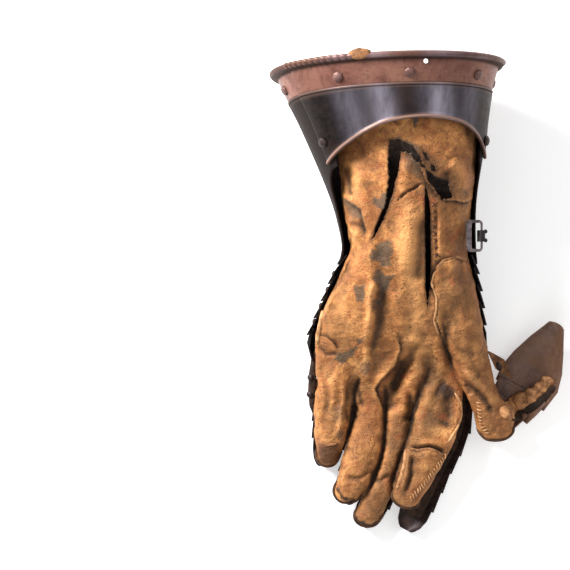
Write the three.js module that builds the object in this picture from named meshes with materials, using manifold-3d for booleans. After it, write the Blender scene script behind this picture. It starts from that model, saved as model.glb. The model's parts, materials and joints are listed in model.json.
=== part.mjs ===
// A left-hand gauntlet of about 1600: blackened plates over a buff leather glove, lying palm up.
// Millimetres. +X points to the thumb's side, +Y to the mouth of the cuff and +Z up out of the palm.
// The tables are in a working frame with its zero in the middle of the hand. The last lines move the origin to the
// middle of the surface that the gauntlet lies on.

import * as THREE from "three";
import { mergeVertices } from "three/addons/utils/BufferGeometryUtils.js";
import Module from "manifold-3d";

const wasm = await Module();
wasm.setup();

// ---- Driving dimensions ----

const GAP = 0.35; // clearance between neighbouring pieces
const CUFF_WALL = 1.4;
const LAME_WALL = 1.1;
const SCALE_WALL = 0.8; // the small plates on the fingers
const THUMB_WALL = 1.1;
const GLOVE_WALL = 2.0;
const STRAP_WALL = 1.0;

const MOUTH_Y = 157; // middle of the mouth
const MOUTH_LEAN = 9.8; // how much further the palm's side reaches
const MOUTH_SKEW = 4; // how much further the thumb's side reaches
const RIM_BEAD = 2.4; // radius of the turned edge round the mouth
const RIM_OUT = 1.4; // how far the middle of the turned edge stands outside the plate
const ARCH_BEAD = 1.3; // radius of the turned edge over the wrist
const BAND_DEPTH = 0.8; // how far the band under the rim is sunk
const BAND_WIDTH = 22;
const BAND_STEP = 1.2; // run of the slope at the band's lower edge
const SEAM_LITTLE = 146; // angle of the inner cuff plate's edge on the little finger's side
const SEAM_THUMB = 8; // and on the thumb's side
const SEAM_LAP = 8; // degrees by which the two cuff plates overlap

const LAME_COUNT = 4;
const LAME_PITCH = 12;
const LAME_LENGTH = 17;
const LAME_LIFT = 2.8; // how far a lame's finger end stands out past its wrist end
const LAME_LEAN = 3.5; // how much lower the lames run on the little finger's side
const FIRST_LAME_Y = 26;
const LAME_ARC = { from: 176, to: 364, less: 2 }; // each lame's arc is less at both ends than the one above
const LOBE_WIDTH = 26.6; // of each of the four lobes over the knuckles
const LOBE_HEIGHT = 3.2;
const FIRST_LOBE_X = -52;
const KNUCKLE_EDGE_Y = -47; // between the lobes
const KNUCKLE_SCALLOP = 5; // how much further the lobes reach

const SCALE_PITCH = 15; // the most that a finger's scales are apart
const SCALE_LAP = 4; // how much of each scale covers the next one
const SCALE_LIFT = 1.9;
const TIP_LENGTH = 24;
const SCALE_SPREAD = 52; // half of the arc that a finger scale covers, in degrees
const RIVET_RADIUS = 4;
const RIVET_HEIGHT = 2.2;
const RIVET_DROP = 15; // from the mouth to the row of rivets
const HOLE = { x: 24, y: 160, z: 125, radius: 1.6 }; // the empty lining hole in the inner cuff plate
const SEAM_RIVETS = {
  thumb_side: { y: 105.5, angle: 12 },
  little_side: { y: 104, angle: 142 },
};

const KNUCKLE_CUT_Y = -24; // where the glove's front part meets the rest
const TEAR_FLOOR = 66; // the tears go through the leather above this height
const TEAR_DEPTH = 100;

const BUCKLE = { x: 63.8, y: 39.2, z: 74.4 }; // middle of the bar that the buckle swings on
const BUCKLE_LENGTH = 22.4; // along the arm
const BUCKLE_REACH = 10.8; // from the middle of the hinge bar to the outer edge of the strap bar
const BUCKLE_DEPTH = 1.8;
const BUCKLE_ARM = 2.1; // width of the two ends of the buckle
const BUCKLE_CORNER = 3;
const HINGE_BAR = 1.6; // width of its hinge bar
const STRAP_BAR = 3.9; // width of its strap bar
const HASP_WIDTH = 8;
const HASP_WALL = 1;
const HASP_BORE = 1.5; // radius inside the hasp's loop

// ---- Tables ----

// Outside of the armour, in sections across the arm. A roundness of 2 is an ellipse, and more is squarer.
const ARMOUR = [
  { y: -56, cx: 7.5, cz: 26, halfWidth: 61, halfHeight: 20.0, roundness: 2.5 },
  { y: -45, cx: 6.5, cz: 27, halfWidth: 62.5, halfHeight: 22.0, roundness: 2.5 },
  { y: -32, cx: 5.0, cz: 30, halfWidth: 64, halfHeight: 25.2, roundness: 2.5 },
  { y: -20, cx: 6.9, cz: 36, halfWidth: 61.5, halfHeight: 29.0, roundness: 2.4 },
  { y: 0, cx: 9.7, cz: 46, halfWidth: 56, halfHeight: 31.0, roundness: 2.3 },
  { y: 15, cx: 11.4, cz: 54, halfWidth: 51.5, halfHeight: 32.0, roundness: 2.2 },
  { y: 27, cx: 13.4, cz: 59, halfWidth: 47.2, halfHeight: 33.0, roundness: 2.1 },
  { y: 52, cx: 11.1, cz: 62, halfWidth: 48.9, halfHeight: 37.5, roundness: 2.1 },
  { y: 71, cx: 8.6, cz: 63, halfWidth: 52.7, halfHeight: 40.5, roundness: 2.1 },
  { y: 97, cx: 5.2, cz: 63.5, halfWidth: 60.2, halfHeight: 45.5, roundness: 2.1 },
  { y: 120, cx: 1.1, cz: 63.4, halfWidth: 66.6, halfHeight: 51.6, roundness: 2.1 },
  { y: 140, cx: -2.6, cz: 63.6, halfWidth: 73.4, halfHeight: 58, roundness: 2.1 },
  { y: 155, cx: -3.6, cz: 64.2, halfWidth: 78.5, halfHeight: 62.6, roundness: 2.1 },
  { y: 170, cx: -4.5, cz: 65.4, halfWidth: 83.0, halfHeight: 64.4, roundness: 2.1 },
];

// Lower edge of the inner cuff plate, the arch over the wrist.
const ARCH = [
  { angle: 5, y: 92 },
  { angle: 18, y: 101 },
  { angle: 34, y: 112.5 },
  { angle: 48, y: 119 },
  { angle: 70, y: 122.5 },
  { angle: 91, y: 119.5 },
  { angle: 105, y: 113 },
  { angle: 121, y: 104 },
  { angle: 135, y: 96 },
  { angle: 147, y: 89 },
];

// Free edge of the outer cuff plate: down both sides of the wrist and across the back of it.
const WRIST_EDGE = [
  { angle: 138, y: 88 },
  { angle: 148, y: 84 },
  { angle: 159, y: 72 },
  { angle: 165, y: 56 },
  { angle: 171, y: 34 },
  { angle: 178, y: 21 },
  { angle: 200, y: 20 },
  { angle: 340, y: 20 },
  { angle: 354, y: 21 },
  { angle: 361, y: 33 },
  { angle: 364, y: 54 },
  { angle: 369, y: 84 },
  { angle: 376, y: 92 },
];

// Outside of the glove's hand and sleeve, in sections across the hand.
const HAND = [
  { y: -70, cx: 0.5, cz: 20.5, halfWidth: 44, halfHeight: 6.5, roundness: 2.4 },
  { y: -62, cx: 0, cz: 22, halfWidth: 50, halfHeight: 8, roundness: 2.4 },
  { y: -52, cx: 0.5, cz: 24.5, halfWidth: 53, halfHeight: 10.5, roundness: 2.4 },
  { y: -41, cx: 3.2, cz: 27.5, halfWidth: 55.5, halfHeight: 15, roundness: 2.3 },
  { y: -27, cx: 6.2, cz: 34, halfWidth: 57.5, halfHeight: 21, roundness: 2.3 },
  { y: -6, cx: 9.2, cz: 45, halfWidth: 52.5, halfHeight: 23, roundness: 2.2 },
  { y: 15, cx: 11.6, cz: 54, halfWidth: 46, halfHeight: 24.5, roundness: 2.1 },
  { y: 29, cx: 13, cz: 60, halfWidth: 41, halfHeight: 26, roundness: 2.1 },
  { y: 45, cx: 12.4, cz: 62, halfWidth: 43, halfHeight: 28, roundness: 2.1 },
  { y: 61, cx: 11.8, cz: 63.5, halfWidth: 45.2, halfHeight: 31, roundness: 2.1 },
  { y: 89, cx: 12, cz: 64, halfWidth: 47.5, halfHeight: 36, roundness: 2.1 },
  { y: 112, cx: 11.5, cz: 64, halfWidth: 50, halfHeight: 39.5, roundness: 2.1 },
  { y: 134, cx: 10.5, cz: 64, halfWidth: 52, halfHeight: 42, roundness: 2.1 },
];

// Leather fingers and thumb, from the root in the hand to the tip. z is the middle of the finger.
const LEATHER = {
  little: [
    { x: -34, y: -38, z: 26, halfWidth: 11.6, halfHeight: 9.6 },
    { x: -37.6, y: -58, z: 24.2, halfWidth: 12, halfHeight: 9.4 },
    { x: -41, y: -80, z: 16.6, halfWidth: 12.4, halfHeight: 9 },
    { x: -42, y: -95, z: 13.6, halfWidth: 11, halfHeight: 8.6 },
    { x: -43, y: -108, z: 12.6, halfWidth: 9.2, halfHeight: 7.6 },
    { x: -44, y: -116.5, z: 12.2, halfWidth: 7.4, halfHeight: 6.4 },
  ],
  ring: [
    { x: -10, y: -40, z: 21, halfWidth: 12, halfHeight: 10.5 },
    { x: -12, y: -60, z: 17.5, halfWidth: 12.2, halfHeight: 10 },
    { x: -11.2, y: -78, z: 16, halfWidth: 11.6, halfHeight: 9.6 },
    { x: -12.2, y: -94, z: 15.8, halfWidth: 11.8, halfHeight: 9.2 },
    { x: -17.4, y: -111, z: 16.8, halfWidth: 12.8, halfHeight: 9 },
    { x: -24.2, y: -128, z: 17.2, halfWidth: 12, halfHeight: 8.6 },
    { x: -29.8, y: -141, z: 16.2, halfWidth: 9.6, halfHeight: 7.2 },
  ],
  middle: [
    { x: 15, y: -40, z: 21, halfWidth: 11.5, halfHeight: 10.5 },
    { x: 14, y: -60, z: 17, halfWidth: 11.6, halfHeight: 10 },
    { x: 13.4, y: -80, z: 14.2, halfWidth: 10.6, halfHeight: 9.6 },
    { x: 11.2, y: -97, z: 13.2, halfWidth: 9.8, halfHeight: 9 },
    { x: 6.4, y: -114, z: 12.8, halfWidth: 8.8, halfHeight: 8.8 },
    { x: -1.2, y: -132, z: 12.4, halfWidth: 8.9, halfHeight: 8.4 },
    { x: -9.4, y: -148, z: 11.8, halfWidth: 10, halfHeight: 7.8 },
    { x: -16, y: -158, z: 11.2, halfWidth: 9.2, halfHeight: 6.6 },
  ],
  index: [
    { x: 36, y: -40, z: 25, halfWidth: 12, halfHeight: 10.5 },
    { x: 38, y: -60, z: 22.5, halfWidth: 12.4, halfHeight: 9.6 },
    { x: 39, y: -79, z: 21.5, halfWidth: 12.4, halfHeight: 8.8 },
    { x: 36, y: -97, z: 21, halfWidth: 11.2, halfHeight: 8.2 },
    { x: 28.6, y: -114, z: 20.4, halfWidth: 11.2, halfHeight: 7.8 },
    { x: 20.6, y: -131, z: 19.4, halfWidth: 9.8, halfHeight: 7.2 },
    { x: 12.4, y: -145.5, z: 18.4, halfWidth: 8.8, halfHeight: 6 },
  ],
  thumb: [
    { x: 46, y: 4, z: 50, halfWidth: 14, halfHeight: 14 },
    { x: 50, y: -20, z: 44, halfWidth: 14.5, halfHeight: 14 },
    { x: 55, y: -40, z: 37, halfWidth: 13.5, halfHeight: 12 },
    { x: 61, y: -60, z: 29.5, halfWidth: 11.6, halfHeight: 10 },
    { x: 67.4, y: -78, z: 23, halfWidth: 10.8, halfHeight: 8.4 },
    { x: 73, y: -92, z: 18.4, halfWidth: 11.6, halfHeight: 7.4 },
    { x: 75.6, y: -99, z: 16.4, halfWidth: 9.6, halfHeight: 6.2 },
  ],
};

// Armour of the fingers: the line along the inside of the scales, and their sections' half width and rise.
const SCALES = {
  little: [
    { x: -38.2, y: -51, z: 11.6, halfWidth: 10.6, rise: 9.6 },
    { x: -40.6, y: -66, z: 8.4, halfWidth: 13, rise: 10.6 },
    { x: -42.4, y: -84, z: 4.4, halfWidth: 13, rise: 10.8 },
    { x: -43.4, y: -100, z: 3.2, halfWidth: 12, rise: 10.4 },
    { x: -44.6, y: -112, z: 3.0, halfWidth: 10.6, rise: 9.6 },
    { x: -46.4, y: -124, z: 3.2, halfWidth: 8.4, rise: 8.4 },
  ],
  ring: [
    { x: -13, y: -50, z: 5.6, halfWidth: 13.4, rise: 11.4 },
    { x: -12.6, y: -68, z: 4.8, halfWidth: 13.4, rise: 11.4 },
    { x: -12, y: -84, z: 5.0, halfWidth: 13.4, rise: 11.2 },
    { x: -14, y: -100, z: 5.8, halfWidth: 13.4, rise: 11 },
    { x: -19.4, y: -117, z: 6.6, halfWidth: 14, rise: 10.8 },
    { x: -26.4, y: -134, z: 7.4, halfWidth: 12.6, rise: 10.4 },
    { x: -32.8, y: -149.5, z: 8.2, halfWidth: 9.4, rise: 8.6 },
  ],
  middle: [
    { x: 14, y: -50, z: 5.2, halfWidth: 12.8, rise: 11.4 },
    { x: 13.4, y: -68, z: 3.8, halfWidth: 12.4, rise: 11.4 },
    { x: 12.6, y: -86, z: 3.1, halfWidth: 11.8, rise: 11 },
    { x: 9.6, y: -104, z: 3.0, halfWidth: 11.2, rise: 10.6 },
    { x: 3.4, y: -122, z: 3.0, halfWidth: 11, rise: 10.4 },
    { x: -4.8, y: -140, z: 3.0, halfWidth: 12, rise: 10 },
    { x: -13.2, y: -154, z: 3.0, halfWidth: 12, rise: 9.4 },
    { x: -20.4, y: -165, z: 3.4, halfWidth: 9.4, rise: 8 },
  ],
  index: [
    { x: 41.4, y: -50, z: 7.4, halfWidth: 13, rise: 11.2 },
    { x: 46.6, y: -66, z: 4.8, halfWidth: 13.2, rise: 11 },
    { x: 48.6, y: -84, z: 3.4, halfWidth: 13, rise: 10.8 },
    { x: 44.8, y: -102, z: 3.0, halfWidth: 12.4, rise: 10.4 },
    { x: 35, y: -121, z: 3.0, halfWidth: 12.2, rise: 10.2 },
    { x: 26.6, y: -139, z: 3.0, halfWidth: 12.4, rise: 10 },
    { x: 18.4, y: -155, z: 3.0, halfWidth: 12.4, rise: 9.6 },
    { x: 11.4, y: -168.5, z: 3.6, halfWidth: 9.6, rise: 8.4 },
  ],
};

// Thumb armour, from the leaf's free end to the thumb's tip. curl is half of the arc that it covers.
const THUMB_ARMOUR = [
  { x: 114.5, y: -20.5, z: 22, halfWidth: 9, rise: 16, curl: 38, tilt: 18 },
  { x: 110, y: -32, z: 15, halfWidth: 16.5, rise: 16, curl: 46, tilt: 16 },
  { x: 104, y: -46, z: 9, halfWidth: 22, rise: 17, curl: 54, tilt: 13 },
  { x: 99, y: -58, z: 5.6, halfWidth: 23.5, rise: 17, curl: 60, tilt: 10 },
  { x: 93.5, y: -69, z: 4, halfWidth: 21, rise: 15, curl: 62, tilt: 7 },
  { x: 87, y: -78.5, z: 3.2, halfWidth: 17, rise: 13, curl: 64, tilt: 4 },
  { x: 80, y: -87, z: 3.2, halfWidth: 14.5, rise: 11.5, curl: 64, tilt: 0 },
  { x: 72.5, y: -95, z: 3.4, halfWidth: 13, rise: 10.5, curl: 64, tilt: 0 },
  { x: 66, y: -101.5, z: 3.8, halfWidth: 10.5, rise: 9.6, curl: 64, tilt: 0 },
];

// The thumb's plates: places along the path of its armour, and how far the plate stands out there.
const THUMB_PLATES = {
  thumb_leaf_plate: [
    { along: 0, out: 0 },
    { along: 7, out: 0 },
    { along: 17, out: 0 },
    { along: 32, out: 0.4 },
    { along: 46, out: 1.2 },
    { along: 60, out: 2.2 },
  ],
  thumb_lame: [
    { along: 55, out: 0 },
    { along: 64, out: 1.1 },
    { along: 73, out: 2.2 },
  ],
};
const THUMB_TIP_START = 68;

// Angles round the arm of the rivets in the band.
const RIVET_ANGLES = [36, 79, 114.5, 166, 205, 245, 285, 322, 358];

// The leather tab between the thumb and its leaf, along its underside.
const TAB_WALL = 2;
const TAB = [
  { x: 71.5, y: -47.5, z: 30, halfWidth: 6.5 },
  { x: 76, y: -50, z: 26, halfWidth: 7 },
  { x: 84, y: -54.5, z: 21, halfWidth: 7 },
];

// Folds of the palm's leather: a ridge is high above 0 and a valley below it.
const FOLDS = [
  { x1: -12, y1: 2, x2: -17, y2: -58, width: 4.5, height: 3.2 },
  { x1: 14, y1: -34, x2: -6, y2: -60, width: 5, height: 3.4 },
  { x1: 22, y1: -30, x2: 4, y2: -66, width: 4, height: -3.0 },
  { x1: 32, y1: -8, x2: 36, y2: -52, width: 5, height: 2.6 },
  { x1: -34, y1: 30, x2: -44, y2: -14, width: 4.5, height: 2.6 },
  { x1: -26, y1: 28, x2: -38, y2: -10, width: 3.5, height: -2.4 },
  { x1: -6, y1: 40, x2: -8, y2: -4, width: 4, height: -2.0 },
  { x1: 44, y1: 18, x2: 52, y2: -36, width: 5, height: 3.0 },
  { x1: 24, y1: 52, x2: 30, y2: 4, width: 4, height: -2.4 },
];

// Places where the palm's leather is torn or its seam has opened, as outlines in the plan.
const TEARS = {
  wrist_tear: [
    { x: -1.5, y: 106 }, { x: 5, y: 106.5 }, { x: 15, y: 102 }, { x: 21, y: 94 },
    { x: 24.5, y: 86 }, { x: 20, y: 88 }, { x: 14, y: 96 }, { x: 7.5, y: 97.5 },
    { x: 5.5, y: 86 }, { x: 2, y: 70 }, { x: -3, y: 55 }, { x: -11, y: 38 },
    { x: -13.5, y: 36.5 }, { x: -9, y: 48 }, { x: -4, y: 62 }, { x: -1.5, y: 80 },
  ],
  side_tear: [
    { x: 24.5, y: 86 }, { x: 31.5, y: 80 }, { x: 40, y: 77.5 }, { x: 44, y: 66 },
    { x: 36, y: 63.5 }, { x: 32, y: 69 }, { x: 26, y: 75 },
  ],
  open_seam: [
    { x: 24, y: 76 }, { x: 27.5, y: 62 }, { x: 28.4, y: 30 }, { x: 28.2, y: 4 },
    { x: 26.2, y: -12 }, { x: 24.6, y: 4 }, { x: 24.4, y: 30 }, { x: 23.8, y: 60 },
  ],
};

// ---- Numbers and tables ----

const radians = THREE.MathUtils.degToRad;
const mix = THREE.MathUtils.lerp;

// A row of a table at any value of one column, on a smooth curve through the rows and held past both ends.
function rowAt(rows, key, value) {
  const rising = rows[0][key] < rows[rows.length - 1][key];
  const order = rising ? rows : [...rows].reverse();
  const last = order.length - 1;
  const v = THREE.MathUtils.clamp(value, order[0][key], order[last][key]);
  let i = 0;
  while (i < last - 1 && order[i + 1][key] < v) i++;
  const [a, b] = [order[i], order[i + 1]];
  const before = order[Math.max(i - 1, 0)];
  const after = order[Math.min(i + 2, last)];
  const span = b[key] - a[key];
  const t = (v - a[key]) / span;
  const found = {};
  for (const column of Object.keys(a)) {
    const slopeA = ((b[column] - before[column]) / (b[key] - before[key])) * span;
    const slopeB = ((after[column] - a[column]) / (after[key] - a[key])) * span;
    const rise = b[column] - a[column];
    const square = 3 * rise - 2 * slopeA - slopeB;
    const cube = slopeA + slopeB - 2 * rise;
    found[column] = a[column] + slopeA * t + square * t ** 2 + cube * t ** 3;
  }
  return found;
}

// The same rows with a column for the distance along them.
function measured(rows) {
  let along = 0;
  return rows.map((row, i) => {
    if (i) along += Math.hypot(row.x - rows[i - 1].x, row.y - rows[i - 1].y, row.z - rows[i - 1].z);
    return { along, ...row };
  });
}

const lengthOf = (path) => path[path.length - 1].along;

// A point of a path with its directions: forwards to the tip, side towards the thumb, and up.
function frameAt(path, along) {
  const step = 1;
  const end = lengthOf(path);
  const here = rowAt(path, "along", along);
  const point = (row) => new THREE.Vector3(row.x, row.y, row.z);
  const ahead = point(rowAt(path, "along", Math.min(along + step, end)));
  const behind = point(rowAt(path, "along", Math.max(along - step, 0)));
  const forwards = ahead.sub(behind).normalize();
  const side = new THREE.Vector3(0, 0, 1).cross(forwards).normalize();
  const up = forwards.clone().cross(side);
  return { here, at: point(here), forwards, side, up };
}

// ---- Solids ----

function solidFrom(points, triangles) {
  const geometry = new THREE.BufferGeometry();
  const numbers = points.flatMap((p) => [p.x, p.y, p.z]);
  geometry.setAttribute("position", new THREE.Float32BufferAttribute(numbers, 3));
  geometry.setIndex(triangles);
  return solidOf(geometry);
}

function solidOf(geometry) {
  const bare = geometry.clone();
  bare.deleteAttribute("normal");
  bare.deleteAttribute("uv");
  const merged = mergeVertices(bare, 1e-4);
  const vertProperties = new Float32Array(merged.attributes.position.array);
  const triVerts = new Uint32Array(merged.index.array);
  const made = new wasm.Manifold(new wasm.Mesh({ numProp: 3, vertProperties, triVerts }));
  if (made.volume() > 0) return made;
  for (let i = 0; i < triVerts.length; i += 3) triVerts.subarray(i, i + 3).reverse();
  return new wasm.Manifold(new wasm.Mesh({ numProp: 3, vertProperties, triVerts }));
}

function geometryOf(solid) {
  const mesh = solid.getMesh();
  const geometry = new THREE.BufferGeometry();
  geometry.setAttribute("position", new THREE.BufferAttribute(mesh.vertProperties, 3));
  geometry.setIndex(new THREE.BufferAttribute(mesh.triVerts, 1));
  geometry.computeVertexNormals();
  return geometry;
}

// The triangles of a ring's flat end, in the ring's own order.
function flatEnd(outline) {
  const faces = THREE.ShapeUtils.triangulateShape(outline, []);
  return THREE.ShapeUtils.isClockWise(outline) ? faces.map((face) => [...face].reverse()) : faces;
}

// The same for a ring that runs along one side of a thin plate and back along the other, in equal steps.
function stripEnd(steps) {
  const faces = [];
  const back = (i) => 2 * steps + 1 - i;
  for (let i = 0; i < steps; i++) faces.push([i, i + 1, back(i + 1)], [i, back(i + 1), back(i)]);
  return faces;
}

// A closed skin over rings of equally many points, with the triangles of its two ends.
function skin(rings, firstEnd, lastEnd) {
  const count = rings[0].length;
  const triangles = [];
  for (let r = 0; r < rings.length - 1; r++) {
    for (let i = 0; i < count; i++) {
      const a = r * count + i;
      const b = r * count + ((i + 1) % count);
      triangles.push(a, b, a + count, b, b + count, a + count);
    }
  }
  const offset = (rings.length - 1) * count;
  for (const [a, b, c] of firstEnd) triangles.push(c, b, a);
  for (const [a, b, c] of lastEnd) triangles.push(a + offset, b + offset, c + offset);
  return solidFrom(rings.flat(), triangles);
}

// ---- Plates that follow the arm ----

// A point of a section. Angle 0 is the thumb's side, 90 the palm, 180 the little finger's side.
function sectionPoint(section, angle, out) {
  const c = Math.cos(radians(angle));
  const s = Math.sin(radians(angle));
  const power = 2 / section.roundness;
  return new THREE.Vector3(
    section.cx + (section.halfWidth + out) * Math.sign(c) * Math.abs(c) ** power,
    section.y,
    section.cz + (section.halfHeight + out) * Math.sign(s) * Math.abs(s) ** power,
  );
}

// Carries a plate's closed profile of { y, out } points from one angle round the arm to another.
function armPlate(profileAt, from, to, steps) {
  const outlines = [];
  const rings = [];
  for (let i = 0; i <= steps; i++) {
    const angle = mix(from, to, i / steps);
    const profile = profileAt(angle, i / steps);
    outlines.push(profile.map((p) => new THREE.Vector2(p.y, p.out)));
    rings.push(profile.map((p) => sectionPoint(rowAt(ARMOUR, "y", p.y), angle, p.out)));
  }
  return skin(rings, flatEnd(outlines[0]), flatEnd(outlines[steps]));
}

// The height of the mouth's edge round the arm.
function mouthY(angle) {
  return MOUTH_Y + MOUTH_LEAN * Math.sin(radians(angle)) + MOUTH_SKEW * Math.cos(radians(angle));
}

// Outside of a cuff plate from the mouth down: turned edge, sunken band, and rows to the lower edge.
function cuffOutside(angle, bottom, lift, rows) {
  const top = mouthY(angle);
  const bead = [150, 100, 50, 0, -50, -100].map((turn) => ({
    y: top - RIM_BEAD + RIM_BEAD * Math.sin(radians(turn)),
    out: lift + RIM_OUT + RIM_BEAD * Math.cos(radians(turn)),
  }));
  const step = top - BAND_WIDTH;
  const band = [
    { y: top - 2 * RIM_BEAD - 0.4, out: lift - BAND_DEPTH },
    { y: step, out: lift - BAND_DEPTH },
    { y: step - BAND_STEP, out: lift },
  ];
  const wall = [];
  for (let i = 1; i <= rows; i++) {
    wall.push({ y: mix(step - BAND_STEP, bottom, i / rows), out: lift });
  }
  return [...bead, ...band, ...wall];
}

function cuffInside(angle, bottom, lift, rows) {
  const top = mouthY(angle);
  const wall = [];
  for (let i = 0; i < rows; i++) {
    wall.push({ y: mix(bottom, top - BAND_WIDTH - 2, i / (rows - 1)), out: lift - CUFF_WALL });
  }
  return [
    ...wall,
    { y: top - BAND_WIDTH + 1, out: lift - BAND_DEPTH - CUFF_WALL },
    { y: top - 3, out: lift - BAND_DEPTH - CUFF_WALL },
  ];
}

// The plate round the back of the arm. Its turned edge stops where the inner plate's edge begins.
function outerCuffPlate() {
  const rows = 7;
  const profileAt = (angle) => {
    const bottom = rowAt(WRIST_EDGE, "angle", angle).y;
    return [...cuffOutside(angle, bottom, 0, rows), ...cuffInside(angle, bottom, 0, rows - 1)];
  };
  const notch = (angle) => [
    { y: mouthY(angle) + 4, out: -6 },
    { y: mouthY(angle) + 4, out: 8 },
    { y: mouthY(angle) - 2 * RIM_BEAD - GAP, out: 8 },
    { y: mouthY(angle) - 2 * RIM_BEAD - GAP, out: -6 },
  ];
  return armPlate(profileAt, SEAM_LITTLE - SEAM_LAP, 360 + SEAM_THUMB + SEAM_LAP, 32)
    .subtract(armPlate(notch, SEAM_LITTLE - SEAM_LAP - 2, SEAM_LITTLE + 0.5, 3))
    .subtract(armPlate(notch, SEAM_THUMB - 0.5, SEAM_THUMB + SEAM_LAP + 2, 3));
}

// The plate over the inside of the arm, arched over the wrist.
function innerCuffPlate() {
  const rows = 3;
  const lift = CUFF_WALL + GAP;
  const profileAt = (angle) => {
    const bottom = rowAt(ARCH, "angle", angle).y;
    const edge = [40, -30, -90].map((turn) => ({
      y: bottom + ARCH_BEAD * Math.sin(radians(turn)),
      out: lift + ARCH_BEAD * Math.cos(radians(turn)),
    }));
    const outside = cuffOutside(angle, bottom + 2 * ARCH_BEAD, lift, rows);
    return [...outside, ...edge, ...cuffInside(angle, bottom, lift, rows)];
  };
  const hole = new THREE.CylinderGeometry(HOLE.radius, HOLE.radius, 20, 10).rotateX(Math.PI / 2);
  hole.translate(HOLE.x, HOLE.y, HOLE.z);
  return armPlate(profileAt, SEAM_THUMB, SEAM_LITTLE, 22).subtract(solidOf(hole));
}

// A lame of the wrist. Its finger end stands out over the next one.
function wristLame(index) {
  const profileAt = (angle) => {
    const lean = LAME_LEAN * Math.cos(radians(angle));
    const top = FIRST_LAME_Y - index * LAME_PITCH + (index ? lean : 0);
    const bottom = FIRST_LAME_Y - index * LAME_PITCH - LAME_LENGTH + lean;
    const middle = (top + bottom) / 2;
    return [
      { y: top, out: -LAME_LIFT },
      { y: middle, out: -LAME_LIFT / 2 },
      { y: bottom, out: 0 },
      { y: bottom, out: -LAME_WALL },
      { y: middle, out: -LAME_LIFT / 2 - LAME_WALL },
      { y: top, out: -LAME_LIFT - LAME_WALL },
    ];
  };
  const less = index * LAME_ARC.less;
  return armPlate(profileAt, LAME_ARC.from + less, LAME_ARC.to - less, 16);
}

// How far into a lobe of the knuckle plate a place across the hand is: 0 between lobes and 1 on top of one.
function lobeAt(x) {
  const along = (x - FIRST_LOBE_X) / LOBE_WIDTH;
  return along < 0 || along > 4 ? 0 : Math.abs(Math.sin(Math.PI * along));
}

// The plate over the knuckles, with a round lobe raised over each.
function knucklePlate() {
  const start = FIRST_LAME_Y - LAME_COUNT * LAME_PITCH;
  const profileAt = (angle) => {
    const lobe = lobeAt(sectionPoint(rowAt(ARMOUR, "y", KNUCKLE_EDGE_Y), angle, 0).x);
    const lean = LAME_LEAN * Math.cos(radians(angle));
    const bottom = KNUCKLE_EDGE_Y - KNUCKLE_SCALLOP * lobe + lean / 2;
    const outside = [
      { y: start + lean, out: -LAME_LIFT },
      { y: start - 5.5 + lean, out: -1.7 },
      { y: start - 10 + lean, out: -0.3 + 0.25 * LOBE_HEIGHT * lobe },
      { y: mix(start - 10 + lean, bottom, 0.5), out: 0.8 * LOBE_HEIGHT * lobe },
      { y: bottom, out: LOBE_HEIGHT * lobe },
    ];
    const inside = outside.map((p) => ({ y: p.y, out: p.out - LAME_WALL })).reverse();
    return [...outside, ...inside];
  };
  return armPlate(profileAt, 186, 354, 32);
}

// ---- Plates that follow a finger ----

// A point of a plate's channel: spread is the angle from its lowest line, and tilt leans it to the thumb.
function channelPoint(frame, spread, out) {
  const { halfWidth, rise, tilt = 0 } = frame.here;
  const across = (halfWidth + out) * Math.sin(radians(spread));
  const above = -(rise + out) * Math.cos(radians(spread));
  const c = Math.cos(radians(tilt));
  const s = Math.sin(radians(tilt));
  return frame.at
    .clone()
    .addScaledVector(frame.side, across * c - above * s)
    .addScaledVector(frame.up, rise + across * s + above * c);
}

// A curved plate along a path. Each station is { along, out, spread, narrowing }.
function channelPlate(path, stations, wall, steps) {
  const ringAt = ({ along, out, spread, narrowing = 1 }) => {
    const frame = frameAt(path, along);
    frame.here = { ...frame.here, halfWidth: frame.here.halfWidth * narrowing };
    const ring = [];
    const pointAt = (i, distance) => channelPoint(frame, mix(-spread, spread, i / steps), distance);
    for (let i = 0; i <= steps; i++) ring.push(pointAt(i, out + wall));
    for (let i = steps; i >= 0; i--) ring.push(pointAt(i, out));
    return ring;
  };
  return skin(stations.map(ringAt), stripEnd(steps), stripEnd(steps));
}

// A plate with a rounded end, from a distance along the path to the path's own end.
function roundedPlate(path, start, wall, steps) {
  const length = lengthOf(path) - 0.5 - start;
  const stations = [0, 0.5, 0.78, 0.93, 1].map((t) => ({
    along: start + t * length,
    out: 0,
    spread: SCALE_SPREAD + 12 * t,
    narrowing: Math.sqrt(1 - 0.8 * t ** 5),
  }));
  return channelPlate(path, stations, wall, steps);
}

// The scales of one finger and its rounded tip plate. Each scale's finger end stands out over the next one.
function fingerPlates(name, rows) {
  const path = measured(rows);
  const tipStart = lengthOf(path) - TIP_LENGTH;
  const count = Math.floor(tipStart / SCALE_PITCH) + 1;
  const pitch = tipStart / count;
  const plates = {};
  for (let i = 0; i < count; i++) {
    const stations = [
      { along: i * pitch, out: 0, spread: SCALE_SPREAD },
      { along: i * pitch + pitch + SCALE_LAP, out: SCALE_LIFT, spread: SCALE_SPREAD },
    ];
    plates[`${name}_scale_${i + 1}`] = channelPlate(path, stations, SCALE_WALL, 5);
  }
  plates[`${name}_tip_plate`] = roundedPlate(path, tipStart, SCALE_WALL, 6);
  return plates;
}

// The leather strap that carries a finger's scales, laid along the inside of them.
function fingerStrap(rows) {
  const path = measured(rows);
  const steps = 8;
  const stations = [];
  for (let i = 0; i <= steps; i++) {
    stations.push({ along: mix(1, lengthOf(path) - 11, i / steps), out: -GAP - STRAP_WALL, spread: 30 });
  }
  return channelPlate(path, stations, STRAP_WALL, 2);
}

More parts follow.
